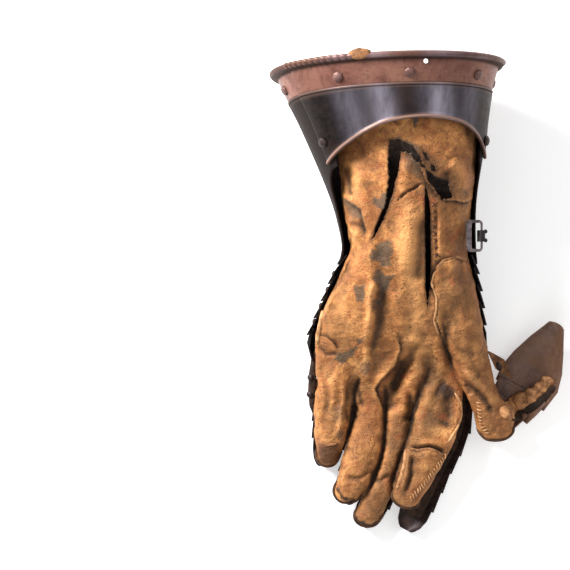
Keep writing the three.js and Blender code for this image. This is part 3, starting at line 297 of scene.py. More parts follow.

# Stains, grime, painted shade and painted highlights on the palm: mark, strength, softness, and the outline
# as x, y.
# The stains are grey stains on the leather; the dark patches at the fingertips are grime, and the one by the
# index finger is painted shade in a dark hole; shade marks are painted shade, most of all under the cuff's
# arch; light marks are painted highlights.
STAINS = [
    ("stain", 0.85, 1.2, [
        (-4.9, 35.7), (0, 36.4), (2.1, 29.4), (-0.7, 19.6), (-4.9, 17.5), (-7, 21), (-12.6, 19.6),
        (-16.8, 23.8), (-14, 30.1), (-8.4, 32.2),
    ]),
    ("stain", 0.8, 1.2, [
        (-12.6, 14), (-7, 14.7), (-4.9, 9.1), (0.7, 11.2), (-0.7, 4.2), (-4.9, 1.4), (-8.4, 2.8),
        (-11.2, 9.1),
    ]),
    ("stain", 0.75, 1.0, [(-11.2, -6.3), (-7, -5.6), (-8.4, -14), (-11.9, -11.9)]),
    ("stain", 0.8, 1.2, [(-26.6, 2.8), (-19.6, 4.2), (-17.5, -7), (-22.4, -4.2)]),
    ("stain", 0.85, 0.8, [
        (-37.1, -46.2), (-33.6, -48.3), (-26.6, -43.4), (-17.5, -32.2), (-20.3, -33.6), (-29.4, -37.8),
        (-35, -42.7),
    ]),
    ("stain", 0.8, 1.0, [
        (-13.3, 63.7), (-7, 70.7), (-2.8, 71.4), (-2.8, 62.3), (-6.3, 58.1), (-11.9, 60.2),
    ]),
    ("stain", 0.6, 2.0, [
        (-32.9, 65.8), (-27.3, 61.6), (-22.4, 56.7), (-21.7, 51.1), (-26.6, 49.7), (-31.5, 56),
    ]),
    ("stain", 0.7, 1.6, [(-19.6, -50.4), (-14.7, -49), (-13.3, -56.7), (-18.2, -58.1)]),
    ("stain", 0.5, 3.0, [(-42, -80.5), (-35, -79.1), (-32.2, -86.8), (-38.5, -89.6)]),
    ("stain", 0.8, 1.6, [
        (0.7, 105), (7, 108), (14, 106), (18.2, 99.4), (12.6, 97.3), (5.6, 98), (0.7, 95.2),
    ]),
    ("stain", 0.6, 2.4, [(8.4, 95.2), (14, 95.9), (18.2, 90.3), (18.9, 81.2), (14, 84), (9.8, 88.2)]),
    ("stain", 0.6, 1.5, [(-37.8, -98), (-32.9, -99.4), (-33.6, -104.3), (-38.5, -103.6)]),
    ("shade", 0.24, 6.0, [(-2, -44), (12, -40), (16, -62), (12, -84), (2, -84), (-4, -68)]),
    ("shade", 0.74, 6.0, [(16, -44), (40, -52), (44, -90), (30, -106), (16, -100), (18, -70)]),
    ("shade", 0.5, 4.0, [(-33.6, -117.6), (-28, -120.4), (-16.8, -121.8), (-21, -127.4), (-30.8, -128.8)]),
    ("shade", 0.6, 4.0, [(-28, -135.1), (-16.8, -133), (-12.6, -138.6), (-15.4, -149.8), (-26.6, -145.6)]),
    ("soil_and_shade", 0.8, 3.0, [(-50, -108), (-34, -106), (-34, -124), (-52, -122)]),
    ("shade", 0.85, 6.0, [(-26, 134), (58, 134), (60, 100), (46, 118), (10, 126), (-20, 120)]),
    ("shade", 0.6, 6.0, [
        (33, 18), (60, 18), (72, -30), (90, -90), (80, -106), (60, -98), (50, -50), (35, -30),
    ]),
    ("shade", 0.4, 4.0, [(30, 66), (58, 64), (60, 20), (34, 18)]),
    ("shade", 0.85, 5.0, [
        (2, -84), (24, -84), (26, -110), (14, -140), (-2, -164), (-28, -164), (-4, -120),
    ]),
    ("light", 0.6, 6.0, [(10, 64), (22, 56), (23, -10), (26, -40), (12, -50), (8, 0), (4, 40)]),
    ("light", 0.3, 6.0, [(-46, -4), (-36, 4), (-24, -28), (-34, -42), (-50, -32)]),
    ("light", 0.35, 4.0, [(-38, 96), (-22, 90), (-20, 60), (-34, 66)]),
    ("light", 0.35, 4.0, [(38, 90), (48, 88), (52, 72), (44, 68)]),
    ("shade", 0.3, 5.0, [(-60, 10), (-30, 40), (-30, -30), (-34, -70), (-60, -60)]),
    ("shade", 0.35, 5.0, [(-56, -70), (-26, -66), (-28, -110), (-52, -118)]),
    ("shade", 0.45, 5.0, [(-24, -90), (-4, -90), (-8, -116), (-20, -150), (-44, -140), (-30, -112)]),
    ("shade", 0.55, 5.0, [(24, -106), (44, -110), (38, -128), (16, -156), (2, -150), (12, -124)]),
    ("shade", 0.34, 6.0, [(-20, -44), (4, -36), (6, -66), (-2, -92), (-20, -84), (-26, -64)]),
    ("soil_and_shade", 0.95, 2.2, [(34, -69), (40, -66), (47, -70), (46.5, -75), (41, -78), (37, -74)]),
    ("shade", 0.7, 3.0, [(20, 104), (34, 92), (46, 84), (58, 66), (30, 60), (20, 76), (12, 96)]),
    ("shade", 0.7, 5.0, [(52, 130), (66, 120), (62, 64), (54, 70)]),
    ("soil_and_shade", 0.95, 0.7, [
        (-26, -159), (-22, -163), (-15, -166), (-9, -165), (-9, -162.5), (-15, -163.5), (-21, -160.5),
        (-25, -157),
    ]),
    ("soil_and_shade", 0.9, 0.7, [
        (-38, -138), (-36, -143), (-31, -147.5), (-25, -149), (-21, -147.5), (-22, -145.8), (-27, -146),
        (-32, -143.5), (-36, -138),
    ]),
]

# Seams, hems and rolled edges of the glove, as runs of x, y.
INDEX_EDGE = [(39.2, -116.2), (32.9, -124.6), (26.6, -133), (21, -139.3), (15.4, -145.6)]
INDEX_ROLL = [(11.6, -111), (11, -120), (8.6, -130), (5.4, -139)]
INDEX_HEM = [(13, -110), (20, -111.6), (28, -110.4), (34, -112.6), (38.4, -116)]
INDEX_LOBE = [(46, -71), (50.4, -78), (50.6, -88), (46.6, -98), (41, -106)]
THUMB_EDGE = [(63, -78), (63.4, -86), (65, -94), (69, -99)]
WRIST_SEAM = [(30.8, 60.9), (30.8, 50.4), (31.5, 39.9), (32.2, 29.4), (32.9, 21)]
GUSSET_SEAM = [(56, 21), (46.9, 24.6), (37.8, 22.5), (31, 15)]
PALM_SEAM = [(4.9, 64.4), (10.5, 68.6), (16.8, 71.4), (21, 75.6)]
SIDE_SEAM = [(-31.5, 38), (-36, 26), (-41, 8), (-44.5, -4), (-48.5, -22), (-51, -36)]
PAD_SEAM = [(34, -30), (31, -20), (32.5, -12), (32.5, -4), (29, 6), (31, 14)]
LITTLE_HEM = [(-50, -105), (-44, -108), (-37, -107)]
LEAF_LINING = [(79, -87), (84, -83), (90, -79.5), (97, -76.5), (104, -73), (110, -68), (114.5, -61)]
LEAF_SHADE = [(87, -90), (93, -86.5), (99, -83), (105.5, -79.5), (111.5, -74), (117, -67)]
# Dark strips low between the fingers, as painted shade in the gaps.
FINGER_GAP_SHADES = [
    [(-24.4, -76), (-26, -90), (-29, -102), (-32, -112)],
    [(-2.6, -78), (-3, -92), (-6, -110), (-14, -132)],
    [(18, -78), (15, -94), (9.5, -112), (4, -128)],
]

# Seams round the tips of the fingers and thumb: a place inside the tip, and the first and last turn round it.
TIP_SEAMS = {
    "little": ((-43.6, -112, 13), 165, 360),
    "ring": ((-28, -138, 17), 150, 330),
    "middle": ((-14, -154, 12.6), 165, 350),
    "index": ((13, -142, 18.6), 170, 330),
    "thumb": ((75, -93, 18), 190, 360),
}

# Rivets on the leathers of the lames' little-finger side, at a place along the arm and an angle round it.
LAME_RIVETS = [(12.6, 184), (1.4, 184), (-9.8, 185), (-21, 186)]

# The strap of the little finger's scales, with its rivets, and the rivet of the thumb's tab.
STRAP_RUN = [
    (-50, -38, 22), (-52.5, -46, 20), (-54, -58, 17), (-54.6, -70, 15), (-54, -80, 13), (-52, -88, 11.5),
]
STRAP_RADII = [1.2, 2.4, 2.8, 2.8, 2.4, 1.2]
STRAP_RIVETS = [(-55.6, -60.2, 17.4), (-56.2, -72.1, 15.4)]
TAB_RIVET = (77, -52.5)

# ---- Shapes from tables ----


def along_table(table, values):
    """Rows of a table at any values of its first column, on a smooth curve through them."""
    rows = np.array(table, float)
    if rows[0, 0] > rows[-1, 0]:
        rows = rows[::-1]
    keys = rows[:, 0]
    values = np.clip(np.asarray(values, float), keys[0], keys[-1])
    slopes = np.empty_like(rows)
    slopes[1:-1] = (rows[2:] - rows[:-2]) / (keys[2:] - keys[:-2])[:, None]
    slopes[0] = (rows[1] - rows[0]) / (keys[1] - keys[0])
    slopes[-1] = (rows[-1] - rows[-2]) / (keys[-1] - keys[-2])
    i = np.clip(np.searchsorted(keys, values) - 1, 0, len(keys) - 2)
    span = (keys[i + 1] - keys[i])[:, None]
    t = (values - keys[i])[:, None] / span
    rise = rows[i + 1] - rows[i]
    first, second = slopes[i] * span, slopes[i + 1] * span
    return rows[i] + first * t + (3 * rise - 2 * first - second) * t**2 + (first + second - 2 * rise) * t**3


def section_points(rows, angles, out):
    """Points on sections across the arm, one for each row, angle and distance out."""
    _, cx, cz, half_width, half_height, roundness = np.asarray(rows).T
    c, s = np.cos(np.radians(angles)), np.sin(np.radians(angles))
    power = 2 / roundness
    return np.stack(
        [
            cx + (half_width + out) * np.sign(c) * np.abs(c) ** power,
            np.asarray(rows)[:, 0],
            cz + (half_height + out) * np.sign(s) * np.abs(s) ** power,
        ],
        axis=-1,
    )


# ---- Meshes ----


def mesh_from(name, points, faces):
    """A mesh from points in working millimetres."""
    mesh = bpy.data.meshes.new(name)
    mesh.from_pydata([tuple(p) for p in metres(points)], [], [tuple(f) for f in faces])
    mesh.update()
    return mesh


def ring_faces(rings, count):
    """Quads of a skin over rings of equally many points."""
    faces = []
    for r in range(rings - 1):
        for i in range(count):
            a, b = r * count + i, r * count + (i + 1) % count
            faces.append((a, b, b + count, a + count))
    return faces


def closed_skin(rings):
    """Points and faces of a closed skin over an array of rings, with a flat face on each end."""
    rings = np.asarray(rings)
    count = rings.shape[1]
    faces = ring_faces(len(rings), count)
    faces.append(tuple(range(count))[::-1])
    faces.append(tuple(range((len(rings) - 1) * count, len(rings) * count)))
    return rings.reshape(-1, 3), faces


def joined(parts):
    """Points and faces of several skins as one."""
    points, faces, offset = [], [], 0
    for p, f in parts:
        points.append(p)
        faces.extend(tuple(i + offset for i in face) for face in f)
        offset += len(p)
    return np.concatenate(points), faces


def outward(mesh):
    """Turns a closed mesh's faces outwards."""
    made = bmesh.new()
    made.from_mesh(mesh)
    bmesh.ops.recalc_face_normals(made, faces=made.faces)
    made.to_mesh(mesh)
    made.free()


def with_modifiers(name, mesh, *settings):
    """The mesh with modifiers applied. Each setting is (type, {property: value})."""
    holder = bpy.data.objects.new(name, mesh)
    bpy.context.scene.collection.objects.link(holder)
    for kind, values in settings:
        modifier = holder.modifiers.new(kind, kind)
        for key, value in values.items():
            setattr(modifier, key, value)
    bpy.context.view_layer.update()
    made = bpy.data.meshes.new_from_object(holder.evaluated_get(bpy.context.evaluated_depsgraph_get()))
    bpy.data.objects.remove(holder)
    made.name = name
    return made


def cut(name, mesh, cutter_mesh, **settings):
    """The mesh with another mesh cut out of it."""
    cutter = bpy.data.objects.new(cutter_mesh.name, cutter_mesh)
    bpy.context.scene.collection.objects.link(cutter)
    settings |= {"operation": "DIFFERENCE", "solver": "EXACT", "object": cutter}
    made = with_modifiers(name, mesh, ("BOOLEAN", settings))
    bpy.data.objects.remove(cutter)
    return made


def smooth(mesh):
    """Shades all of a mesh's faces smooth."""
    mesh.polygons.foreach_set("use_smooth", np.ones(len(mesh.polygons), bool))


def set_material(mesh, *materials):
    """Gives a mesh its materials and smooth shading."""
    mesh.materials.clear()
    for material in materials:
        mesh.materials.append(material)
    smooth(mesh)


def add_piece(name, mesh, replaces=()):
    """Puts a finished mesh on the gauntlet's body."""
    piece = bpy.data.objects.new(name, mesh)
    bpy.context.scene.collection.objects.link(piece)
    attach(piece, "gauntlet")
    if replaces:
        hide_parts(*replaces)


def add_skin(name, skin, material):
    """Adds a piece from the points and faces of its skin."""
    mesh = mesh_from(name, *skin)
    outward(mesh)
    set_material(mesh, material)
    add_piece(name, mesh)


# ---- Materials ----


class Surface:
    """The node tree of one material. Its methods add a node and give its output."""

    def __init__(self, name):
        self.material = bpy.data.materials.new(name)
        self.material.use_nodes = True
        self.tree = self.material.node_tree
        self.shader = self.tree.nodes["Principled BSDF"]
        self.place = self.tree.nodes.new("ShaderNodeTexCoord").outputs["Object"]

    def add(self, kind, inputs, **settings):
        """A new node. Each input is another node's output or a value."""
        made = self.tree.nodes.new(kind)
        for key, value in settings.items():
            setattr(made, key, value)
        for key, value in inputs.items():
            if isinstance(value, bpy.types.NodeSocket):
                self.tree.links.new(value, made.inputs[key])
            else:
                made.inputs[key].default_value = value
        return made

    def noise(self, size, detail=4, roughness=0.6, distortion=0.0, stretch=(1, 1, 1)):
        """Cloudy noise with features of about the size in millimetres."""
        place = self.add("ShaderNodeMapping", {"Vector": self.place, "Scale": stretch}).outputs[0]
        inputs = {"Vector": place, "Scale": 1000 / size, "Detail": detail}
        inputs |= {"Roughness": roughness, "Distortion": distortion}
        return self.add("ShaderNodeTexNoise", inputs).outputs["Fac"]

    def cells(self, size):
        """Distance to the nearest of scattered points about the size apart, in millimetres."""
        inputs = {"Vector": self.place, "Scale": 1000 / size}
        return self.add("ShaderNodeTexVoronoi", inputs).outputs["Distance"]

    def attribute(self, name):
        """A mark that the mesh carries, from 0 to 1."""
        return self.add("ShaderNodeAttribute", {}, attribute_name=name).outputs["Fac"]

    def ramp(self, fac, *stops):
        """Colours along a factor. Each stop is (place, (r, g, b)) or (place, value)."""
        made = self.add("ShaderNodeValToRGB", {"Fac": fac})
        elements = made.color_ramp.elements
        while len(elements) < len(stops):
            elements.new(0.5)
        for element, (place, colour) in zip(elements, stops):
            rgb = colour if isinstance(colour, tuple) else (colour, colour, colour)
            element.position, element.color = place, (*rgb, 1)
        return made.outputs["Color"]

    def mix(self, fac, a, b, blend="MIX"):
        """Colour a with b over it, as much as the factor says."""
        made = self.add("ShaderNodeMix", {}, data_type="RGBA", blend_type=blend)
        for socket, value in ((made.inputs[0], fac), (made.inputs[6], a), (made.inputs[7], b)):
            if isinstance(value, bpy.types.NodeSocket):
                self.tree.links.new(value, socket)
            elif isinstance(value, tuple):
                socket.default_value = (*value, 1)
            else:
                socket.default_value = value
        return made.outputs[2]

    def sum(self, *terms):
        """Weighted sum of (weight, output) terms."""
        total = None
        for weight, output in terms:
            scaled = self.add("ShaderNodeMath", {0: output, 1: weight}, operation="MULTIPLY").outputs[0]
            total = scaled if total is None else self.add("ShaderNodeMath", {0: total, 1: scaled}).outputs[0]
        return total

    def finish(self, colour, roughness, height, depth, metallic=0.0, **constants):
        """Joins the outputs to the shader. depth is the relief's height in millimetres."""
        self.tree.links.new(colour, self.shader.inputs["Base Color"])
        self.tree.links.new(roughness, self.shader.inputs["Roughness"])
        bump = self.add("ShaderNodeBump", {"Height": height, "Distance": depth * MM, "Strength": 1.0})
        self.tree.links.new(bump.outputs[0], self.shader.inputs["Normal"])
        self.shader.inputs["Metallic"].default_value = metallic
        for key, value in constants.items():
            self.shader.inputs[key.replace("_", " ")].default_value = value
        return self.material


def srgb(r, g, b):
    """A colour picked in 0 to 255 steps as linear light."""
    return tuple((c / 255 / 12.92) if c < 11 else ((c / 255 + 0.055) / 1.055) ** 2.4 for c in (r, g, b))


def leather_material():
    """Buff leather with attributes for its painted highlights, its painted shade, its grime with painted
    shade in hollows and gaps, and its stains.
    """
    s = Surface("buff_leather")
    broad = s.noise(26, 5, 0.6, 0.6)
    mottle = s.noise(7, 6, 0.68, 0.8)
    flecks = s.noise(1.9, 4, 0.7)
    base = s.ramp(
        broad,
        (0.3, srgb(138, 86, 46)),
        (0.43, srgb(172, 112, 62)),
        (0.56, srgb(204, 140, 80)),
        (0.72, srgb(230, 166, 100)),
    )
    base = s.mix(s.ramp(mottle, (0.44, 0.0), (0.64, 0.8)), base, srgb(158, 92, 50))
    base = s.mix(s.ramp(s.noise(12, 5, 0.7, 1.2), (0.52, 0.0), (0.66, 0.8)), base, srgb(112, 74, 44))
    base = s.mix(s.ramp(flecks, (0.56, 0.0), (0.74, 0.75)), base, srgb(110, 66, 42))
    # Painted highlights where the light mark is set.
    base = s.mix(s.attribute("light"), base, srgb(236, 170, 106))
    shaded = s.ramp(mottle, (0.34, srgb(72, 50, 32)), (0.66, srgb(122, 84, 50)))
    base = s.mix(s.attribute("shade"), base, shaded)
    red = s.ramp(s.noise(9, 4, 0.6, 0.8), (0.58, 0.0), (0.7, 0.55))
    base = s.mix(red, base, srgb(162, 84, 48))
    pores = s.ramp(s.noise(0.9, 3, 0.6), (0.54, 0.0), (0.7, 0.55))
    base = s.mix(s.mix(1.0, pores, s.ramp(broad, (0.4, 1.0), (0.6, 0.3)), "MULTIPLY"), base, srgb(96, 60, 38))
    spots = s.ramp(s.cells(2.8), (0.12, 1.0), (0.24, 0.0))
    sparse = s.ramp(s.noise(15, 2), (0.46, 0.0), (0.54, 0.95))
    base = s.mix(s.mix(1.0, spots, sparse, "MULTIPLY"), base, srgb(84, 48, 36))
    # Darker where the leather is dirty, and painted shade in hollows, valleys, under laps and between the
    # fingers.
    base = s.mix(s.attribute("soil_and_shade"), base, srgb(44, 28, 20))
    grey = s.ramp(mottle, (0.35, srgb(62, 54, 46)), (0.65, srgb(94, 80, 64)))
    base = s.mix(s.attribute("stain"), base, grey)
    grain = s.sum((0.6, s.noise(1.5, 5, 0.65)), (0.25, s.cells(1.1)), (1.2, s.noise(8, 5, 0.6, 0.4)))
    rough = s.ramp(mottle, (0.3, 0.74), (0.7, 0.5))
    return s.finish(base, rough, grain, 1.15, Specular_IOR_Level=0.26)


def steel_material(name, dark, mid, warm, metallic, gloss, patches):
    """Old plate with a dark finish that has browned in patches."""
    dark, mid, warm = srgb(*dark), srgb(*mid), srgb(*warm)
    s = Surface(name)
    broad = s.noise(34, 6, 0.62, 0.5)
    fine = s.noise(4.5, 6, 0.7, 0.4)
    scratches = s.noise(3, 4, 0.7, 0.2, stretch=(1, 0.12, 1))
    base = s.ramp(fine, (0.35, dark), (0.68, mid))
    base = s.mix(s.ramp(broad, (0.62 - patches, 0.0), (0.82 - patches, 0.9)), base, warm)
    base = s.mix(s.ramp(scratches, (0.62, 0.0), (0.8, 0.3)), base, mid)
    pits = s.ramp(s.cells(2.4), (0.03, 1.0), (0.12, 0.0))
    base = s.mix(s.mix(1.0, pits, s.ramp(broad, (0.5, 0.0), (0.62, 0.8)), "MULTIPLY"), base, dark)
    rough = s.ramp(s.sum((0.6, fine), (0.4, broad)), (0.35, gloss), (0.62, gloss + 0.24))
    height = s.sum((0.6, fine), (0.8, s.noise(14, 3)), (0.25, scratches))
    return s.finish(base, rough, height, 0.16, metallic, Specular_IOR_Level=0.5)


def band_material():
    """The cuff: black plate below, and a red-brown band under the rim."""
    s = Surface("cuff_steel")
    broad = s.noise(30, 6, 0.62, 0.6)
    fine = s.noise(4, 6, 0.7, 0.4)
    streaks = s.noise(10, 4, 0.6, 0.3, stretch=(1, 0.16, 1))
    plate = s.ramp(fine, (0.35, srgb(16, 12, 12)), (0.7, srgb(34, 27, 26)))
    plate = s.mix(s.ramp(broad, (0.48, 0.0), (0.66, 0.7)), plate, srgb(48, 33, 28))
    # Painted highlights: soft blue-grey streaks of reflection over the black plate.
    painted_streaks = s.mix(1.0, s.attribute("painted_sheen"), s.ramp(streaks, (0.3, 0.35), (0.62, 1.0)), "MULTIPLY")
    plate = s.mix(painted_streaks, plate, srgb(150, 144, 158))
    brown = s.ramp(broad, (0.3, srgb(92, 56, 48)), (0.5, srgb(132, 90, 78)), (0.7, srgb(142, 102, 84)))
    brown = s.mix(s.ramp(fine, (0.5, 0.0), (0.75, 0.75)), brown, srgb(72, 48, 44))
    brown = s.mix(s.ramp(s.noise(7, 5, 0.7, 1.0), (0.6, 0.0), (0.74, 0.6)), brown, srgb(168, 134, 122))
    base = s.mix(s.attribute("band"), plate, brown)
    # Painted highlight along the rim, the moulded step and the arch's rounded edge.
    base = s.mix(s.attribute("edge"), base, srgb(150, 118, 104))
    # Painted shade under the rim, in the grooves and inside the plates, and the outer plate darker and duller
    # all over.
    base = s.mix(s.attribute("painted_shade_and_dull"), base, srgb(30, 22, 20))
    rough = s.ramp(s.sum((0.6, fine), (0.4, broad)), (0.35, 0.26), (0.65, 0.5))
    rough = s.mix(s.attribute("painted_shade_and_dull"), rough, (0.85, 0.85, 0.85))
    height = s.sum((0.6, fine), (0.9, s.noise(16, 3)), (0.3, streaks))
    tint = (0.5, 0.44, 0.41, 1)
    return s.finish(base, rough, height, 0.14, 0.25, Specular_IOR_Level=0.35, Specular_Tint=tint)


def plain_leather(name, dark, light):
    """Leather or thread in two tones, without marks."""
    s = Surface(name)
    mottle = s.noise(5, 5, 0.65, 0.5)
    base = s.ramp(mottle, (0.34, srgb(*dark)), (0.68, srgb(*light)))
    grain = s.sum((0.6, s.noise(1.4, 4)), (0.4, s.cells(0.9)))
    return s.finish(base, s.ramp(mottle, (0.3, 0.8), (0.7, 0.62)), grain, 0.4, Specular_IOR_Level=0.25)


LEATHER_MATERIAL = leather_material()
# The glove's inside: dark soiled leather, made darker still as painted shade in the glove's deep hollow.
SOILED_SHADED_INSIDE = plain_leather("glove_inside_soiled_and_shaded", (22, 14, 10), (52, 34, 24))
CUFF_MATERIAL = band_material()
BLACKENED = steel_material("blackened_steel", (22, 18, 19), (52, 44, 45), (62, 42, 36), 0.55, 0.32, 0.0)
BROWNED = steel_material("browned_steel", (28, 21, 21), (66, 50, 47), (84, 55, 45), 0.5, 0.38, 0.1)
THUMB_STEEL = steel_material("thumb_steel", (80, 58, 52), (130, 104, 94), (116, 84, 62), 0.4, 0.36, 0.18)
RIVET_STEEL = steel_material("rivet_steel", (70, 46, 42), (140, 104, 96), (110, 76, 66), 0.4, 0.36, 0.1)
BUCKLE_STEEL = steel_material("buckle_steel", (58, 50, 51), (128, 116, 119), (88, 70, 64), 0.6, 0.34, 0.0)
STRAP = plain_leather("strap_leather", (30, 21, 16), (70, 48, 34))
TAB = plain_leather("tab_leather", (72, 46, 28), (138, 92, 54))
THREAD = plain_leather("dark_thread", (40, 24, 20), (92, 56, 40))
LIGHT_THREAD = plain_leather("light_thread", (150, 104, 66), (222, 174, 126))
WELT = plain_leather("seam_welt", (140, 92, 56), (224, 172, 120))
LINING = plain_leather("worn_lining", (84, 56, 36), (178, 124, 80))
LEAF_LEATHER = plain_leather("leaf_leather", (96, 62, 38), (206, 148, 98))
DARK_LEATHER = plain_leather("dark_leather", (40, 26, 18), (96, 64, 42))
SHADED = plain_leather("shaded_lining", (20, 14, 10), (54, 36, 24))

# ---- The cuff ----


def mouth_y(angle):
    """Where the cuff's mouth ends at an angle round the arm."""
    return MOUTH_Y + MOUTH_LEAN * math.sin(math.radians(angle)) + MOUTH_SKEW * math.cos(math.radians(angle))


def cuff_outside(angle, bottom, lift, rows):
    """Outside profile of a cuff plate, from the turned rim down, as (y, out, band, edge, dark): the band's
    colour, the painted highlight on edges, and the painted shade.
    """
    top = mouth_y(angle)
    roped = 1.0 if ROPED[0] < angle < ROPED[1] else ROPE_WORN
    rope = ROPE_HEIGHT * roped * math.sin(math.radians(angle) * ROPE_RIDGES)
    points = []
    for turn in range(160, -111, -18):
        radius = RIM_BEAD + (rope if turn < 140 else 0)
        y = top - RIM_BEAD + radius * math.sin(math.radians(turn))
        out = lift + RIM_OUT + radius * math.cos(math.radians(turn))
        # Painted highlight along the top of the rim and on the crests of its rope.
        rim_highlight = 0.12 + 1.6 * max(0.0, rope) if 20 < turn < 120 else 0.0
        # Painted shade under the rim's bead and in the grooves of its rope.
        points.append((y, out, 0.5, rim_highlight, 0.55 if turn < -40 else 0.35 * (rope < -0.1)))
    step = top - BAND_WIDTH
    under = top - 2 * RIM_BEAD - 0.4
    # Painted shade at the top of the band, just under the rim.
    for t in np.linspace(0, 1, 9):
        y = under + (step + 1 - under) * t
        points.append((y, lift - BAND_DEPTH, 1.0, 0.0, 0.8 if t == 0 else 0.0))
    # At the moulded step under the band: painted highlights on its ridges and painted shade in its grooves.
    points += [
        (step + 0.5, lift - BAND_DEPTH, 1.0, 0.0, 0.85),
        (step, lift - 0.1, 0.3, 0.3, 0.2),
        (step - 0.9, lift + 0.15, 0.1, 0.3, 0.0),
        (step - 1.6, lift - 0.25, 0.0, 0.0, 0.9),
        (step - STEP_WIDTH, lift, 0.0, 0.2, 0.2),
    ]
    for t in np.linspace(0, 1, rows + 1)[1:]:
        points.append((step - STEP_WIDTH + (bottom - step + STEP_WIDTH) * t, lift, 0.0, 0.0, 0.0))
    return points


def cuff_inside(angle, bottom, lift, rows):
    """Inside profile of a cuff plate from the lower edge back up to the rim, with the same five values."""
    top = mouth_y(angle)
    plate, band = lift - CUFF_WALL, lift - BAND_DEPTH - CUFF_WALL
    points = []
    # Painted shade over the plate's inside.
    for t in np.linspace(0, 1, rows):
        points.append((bottom + (top - BAND_WIDTH - 2 - bottom) * t, plate, 0.0, 0.0, 0.3))
    return points + [(top - BAND_WIDTH + 1, band, 0.3, 0.0, 0.2), (top - 3, band, 0.5, 0.0, 0.2)]


def cuff_plate(name, profile_at, first, last, step):
    """The mesh of a profile carried round the arm, with its band colour, painted edge highlights, painted
    shade and dullness, and painted streaks of reflection as attributes.
    """
    angles = np.linspace(first, last, int(abs(last - first) / step) + 1)
    profiles = np.array([profile_at(angle) for angle in angles])
    rings = []
    for angle, profile in zip(angles, profiles):
        rows = along_table(ARMOUR, profile[:, 0])
        rings.append(section_points(rows, np.full(len(profile), angle), profile[:, 1]))
    points, faces = closed_skin(rings)
    mesh = mesh_from(name, points, faces)
    outward(mesh)
    for i, key in enumerate(("band", "edge", "painted_shade_and_dull")):
        mesh.attributes.new(key, "FLOAT", "POINT").data.foreach_set("value", profiles[:, :, 2 + i].ravel())
    painted_highlight = sum(strength * np.exp(-(((angles - at) / wide) ** 2)) for at, wide, strength in PAINTED_SHEEN)
    painted_highlight = np.repeat(painted_highlight, profiles.shape[1])
    mesh.attributes.new("painted_sheen", "FLOAT", "POINT").data.foreach_set("value", painted_highlight)
    set_material(mesh, CUFF_MATERIAL)
    return mesh


def outer_profile(angle):
    """The plate round the back of the arm, which runs under the inner plate's rim where they lap."""
    bottom = float(along_table(WRIST_EDGE, [angle])[0, 1])
    outside = cuff_outside(angle, bottom, 0, 26)
    under = mouth_y(angle) - 2 * RIM_BEAD - GAP
    if angle < SEAM_LITTLE + 0.5 or angle > 360 + SEAM_THUMB - 0.5:
        outside = [(min(y, under), min(out, 0), *marks) for y, out, *marks in outside]
    # The outer plate is darker and duller all over, except at the band.
    outside = [(y, out, band, edge, max(painted_shade_and_dull, 0.6 * (1 - band))) for y, out, band, edge, painted_shade_and_dull in outside]
    return outside + cuff_inside(angle, bottom, 0, 8)


def inner_profile(angle):
    """The plate over the palm's side, which lies over the outer plate and ends in an arch."""
    bottom = float(along_table(ARCH, [angle])[0, 1])
    lift = CUFF_WALL + GAP
    outside = cuff_outside(angle, bottom + 2 * ARCH_BEAD, lift, 16)
    bead = []
    for turn in (70, 40, 10, -20, -50, -80, -110):
        y = bottom + ARCH_BEAD * math.sin(math.radians(turn))
        out = lift + ARCH_BEAD * math.cos(math.radians(turn))
        # Painted highlight along the outer face of the arch's rounded edge.
        bead.append((y, out, 0.2, 0.9 if -30 < turn < 60 else 0.1, 0.0))
    return outside + bead + cuff_inside(angle, bottom, lift, 6)


def bored(mesh):
    """The mesh with the empty rivet hole cut through it."""
    drill = bmesh.new()
    size = {"radius1": HOLE_RADIUS * MM, "radius2": HOLE_RADIUS * MM, "depth": HOLE_DEPTH * MM}
    bmesh.ops.create_cone(drill, cap_ends=True, segments=24, **size)
    bmesh.ops.translate(drill, verts=drill.verts, vec=Vector(metres(HOLE)))
    bore = bpy.data.meshes.new("bore")
    drill.to_mesh(bore)
    drill.free()
    return cut(mesh.name, mesh, bore)


outer_cuff = cuff_plate("cuff_outer", outer_profile, SEAM_LITTLE - SEAM_LAP, 360 + SEAM_THUMB + SEAM_LAP, 0.8)
add_piece("cuff_outer", outer_cuff, ["outer_cuff_plate"])
inner_cuff = cuff_plate("cuff_inner", inner_profile, SEAM_THUMB, SEAM_LITTLE, 0.6)
add_piece("cuff_inner", bored(inner_cuff), ["inner_cuff_plate"])

# ---- The glove ----


def closest_on_run(xy, run):
    """Distance from points to a polyline, and how far along it the nearest places are, from 0 to 1."""
    run = np.asarray(run, float)
    best = np.full(len(xy), 1e9)
    where = np.zeros(len(xy))
    lengths = np.hypot(*(run[1:] - run[:-1]).T)
    total, before = lengths.sum(), 0.0
    for a, b, length in zip(run[:-1], run[1:], lengths):
        t = np.clip(((xy - a) @ (b - a)) / max(length**2, 1e-9), 0, 1)
        distance = np.hypot(*(xy - (a + t[:, None] * (b - a))).T)
        nearer = distance < best
        best[nearer] = distance[nearer]
        where[nearer] = (before + t[nearer] * length) / total
        before += length
    return best, where


def inside_outline(xy, outline):
    """Whether each point lies inside a closed outline."""
    inside = np.zeros(len(xy), bool)
    outline = np.asarray(outline, float)
    for a, b in zip(outline, np.roll(outline, -1, axis=0)):
        crosses = (a[1] > xy[:, 1]) != (b[1] > xy[:, 1])
        with np.errstate(divide="ignore", invalid="ignore"):
            at_x = a[0] + (xy[:, 1] - a[1]) * (b[0] - a[0]) / (b[1] - a[1])
        inside ^= crosses & (xy[:, 0] < at_x)
    return inside


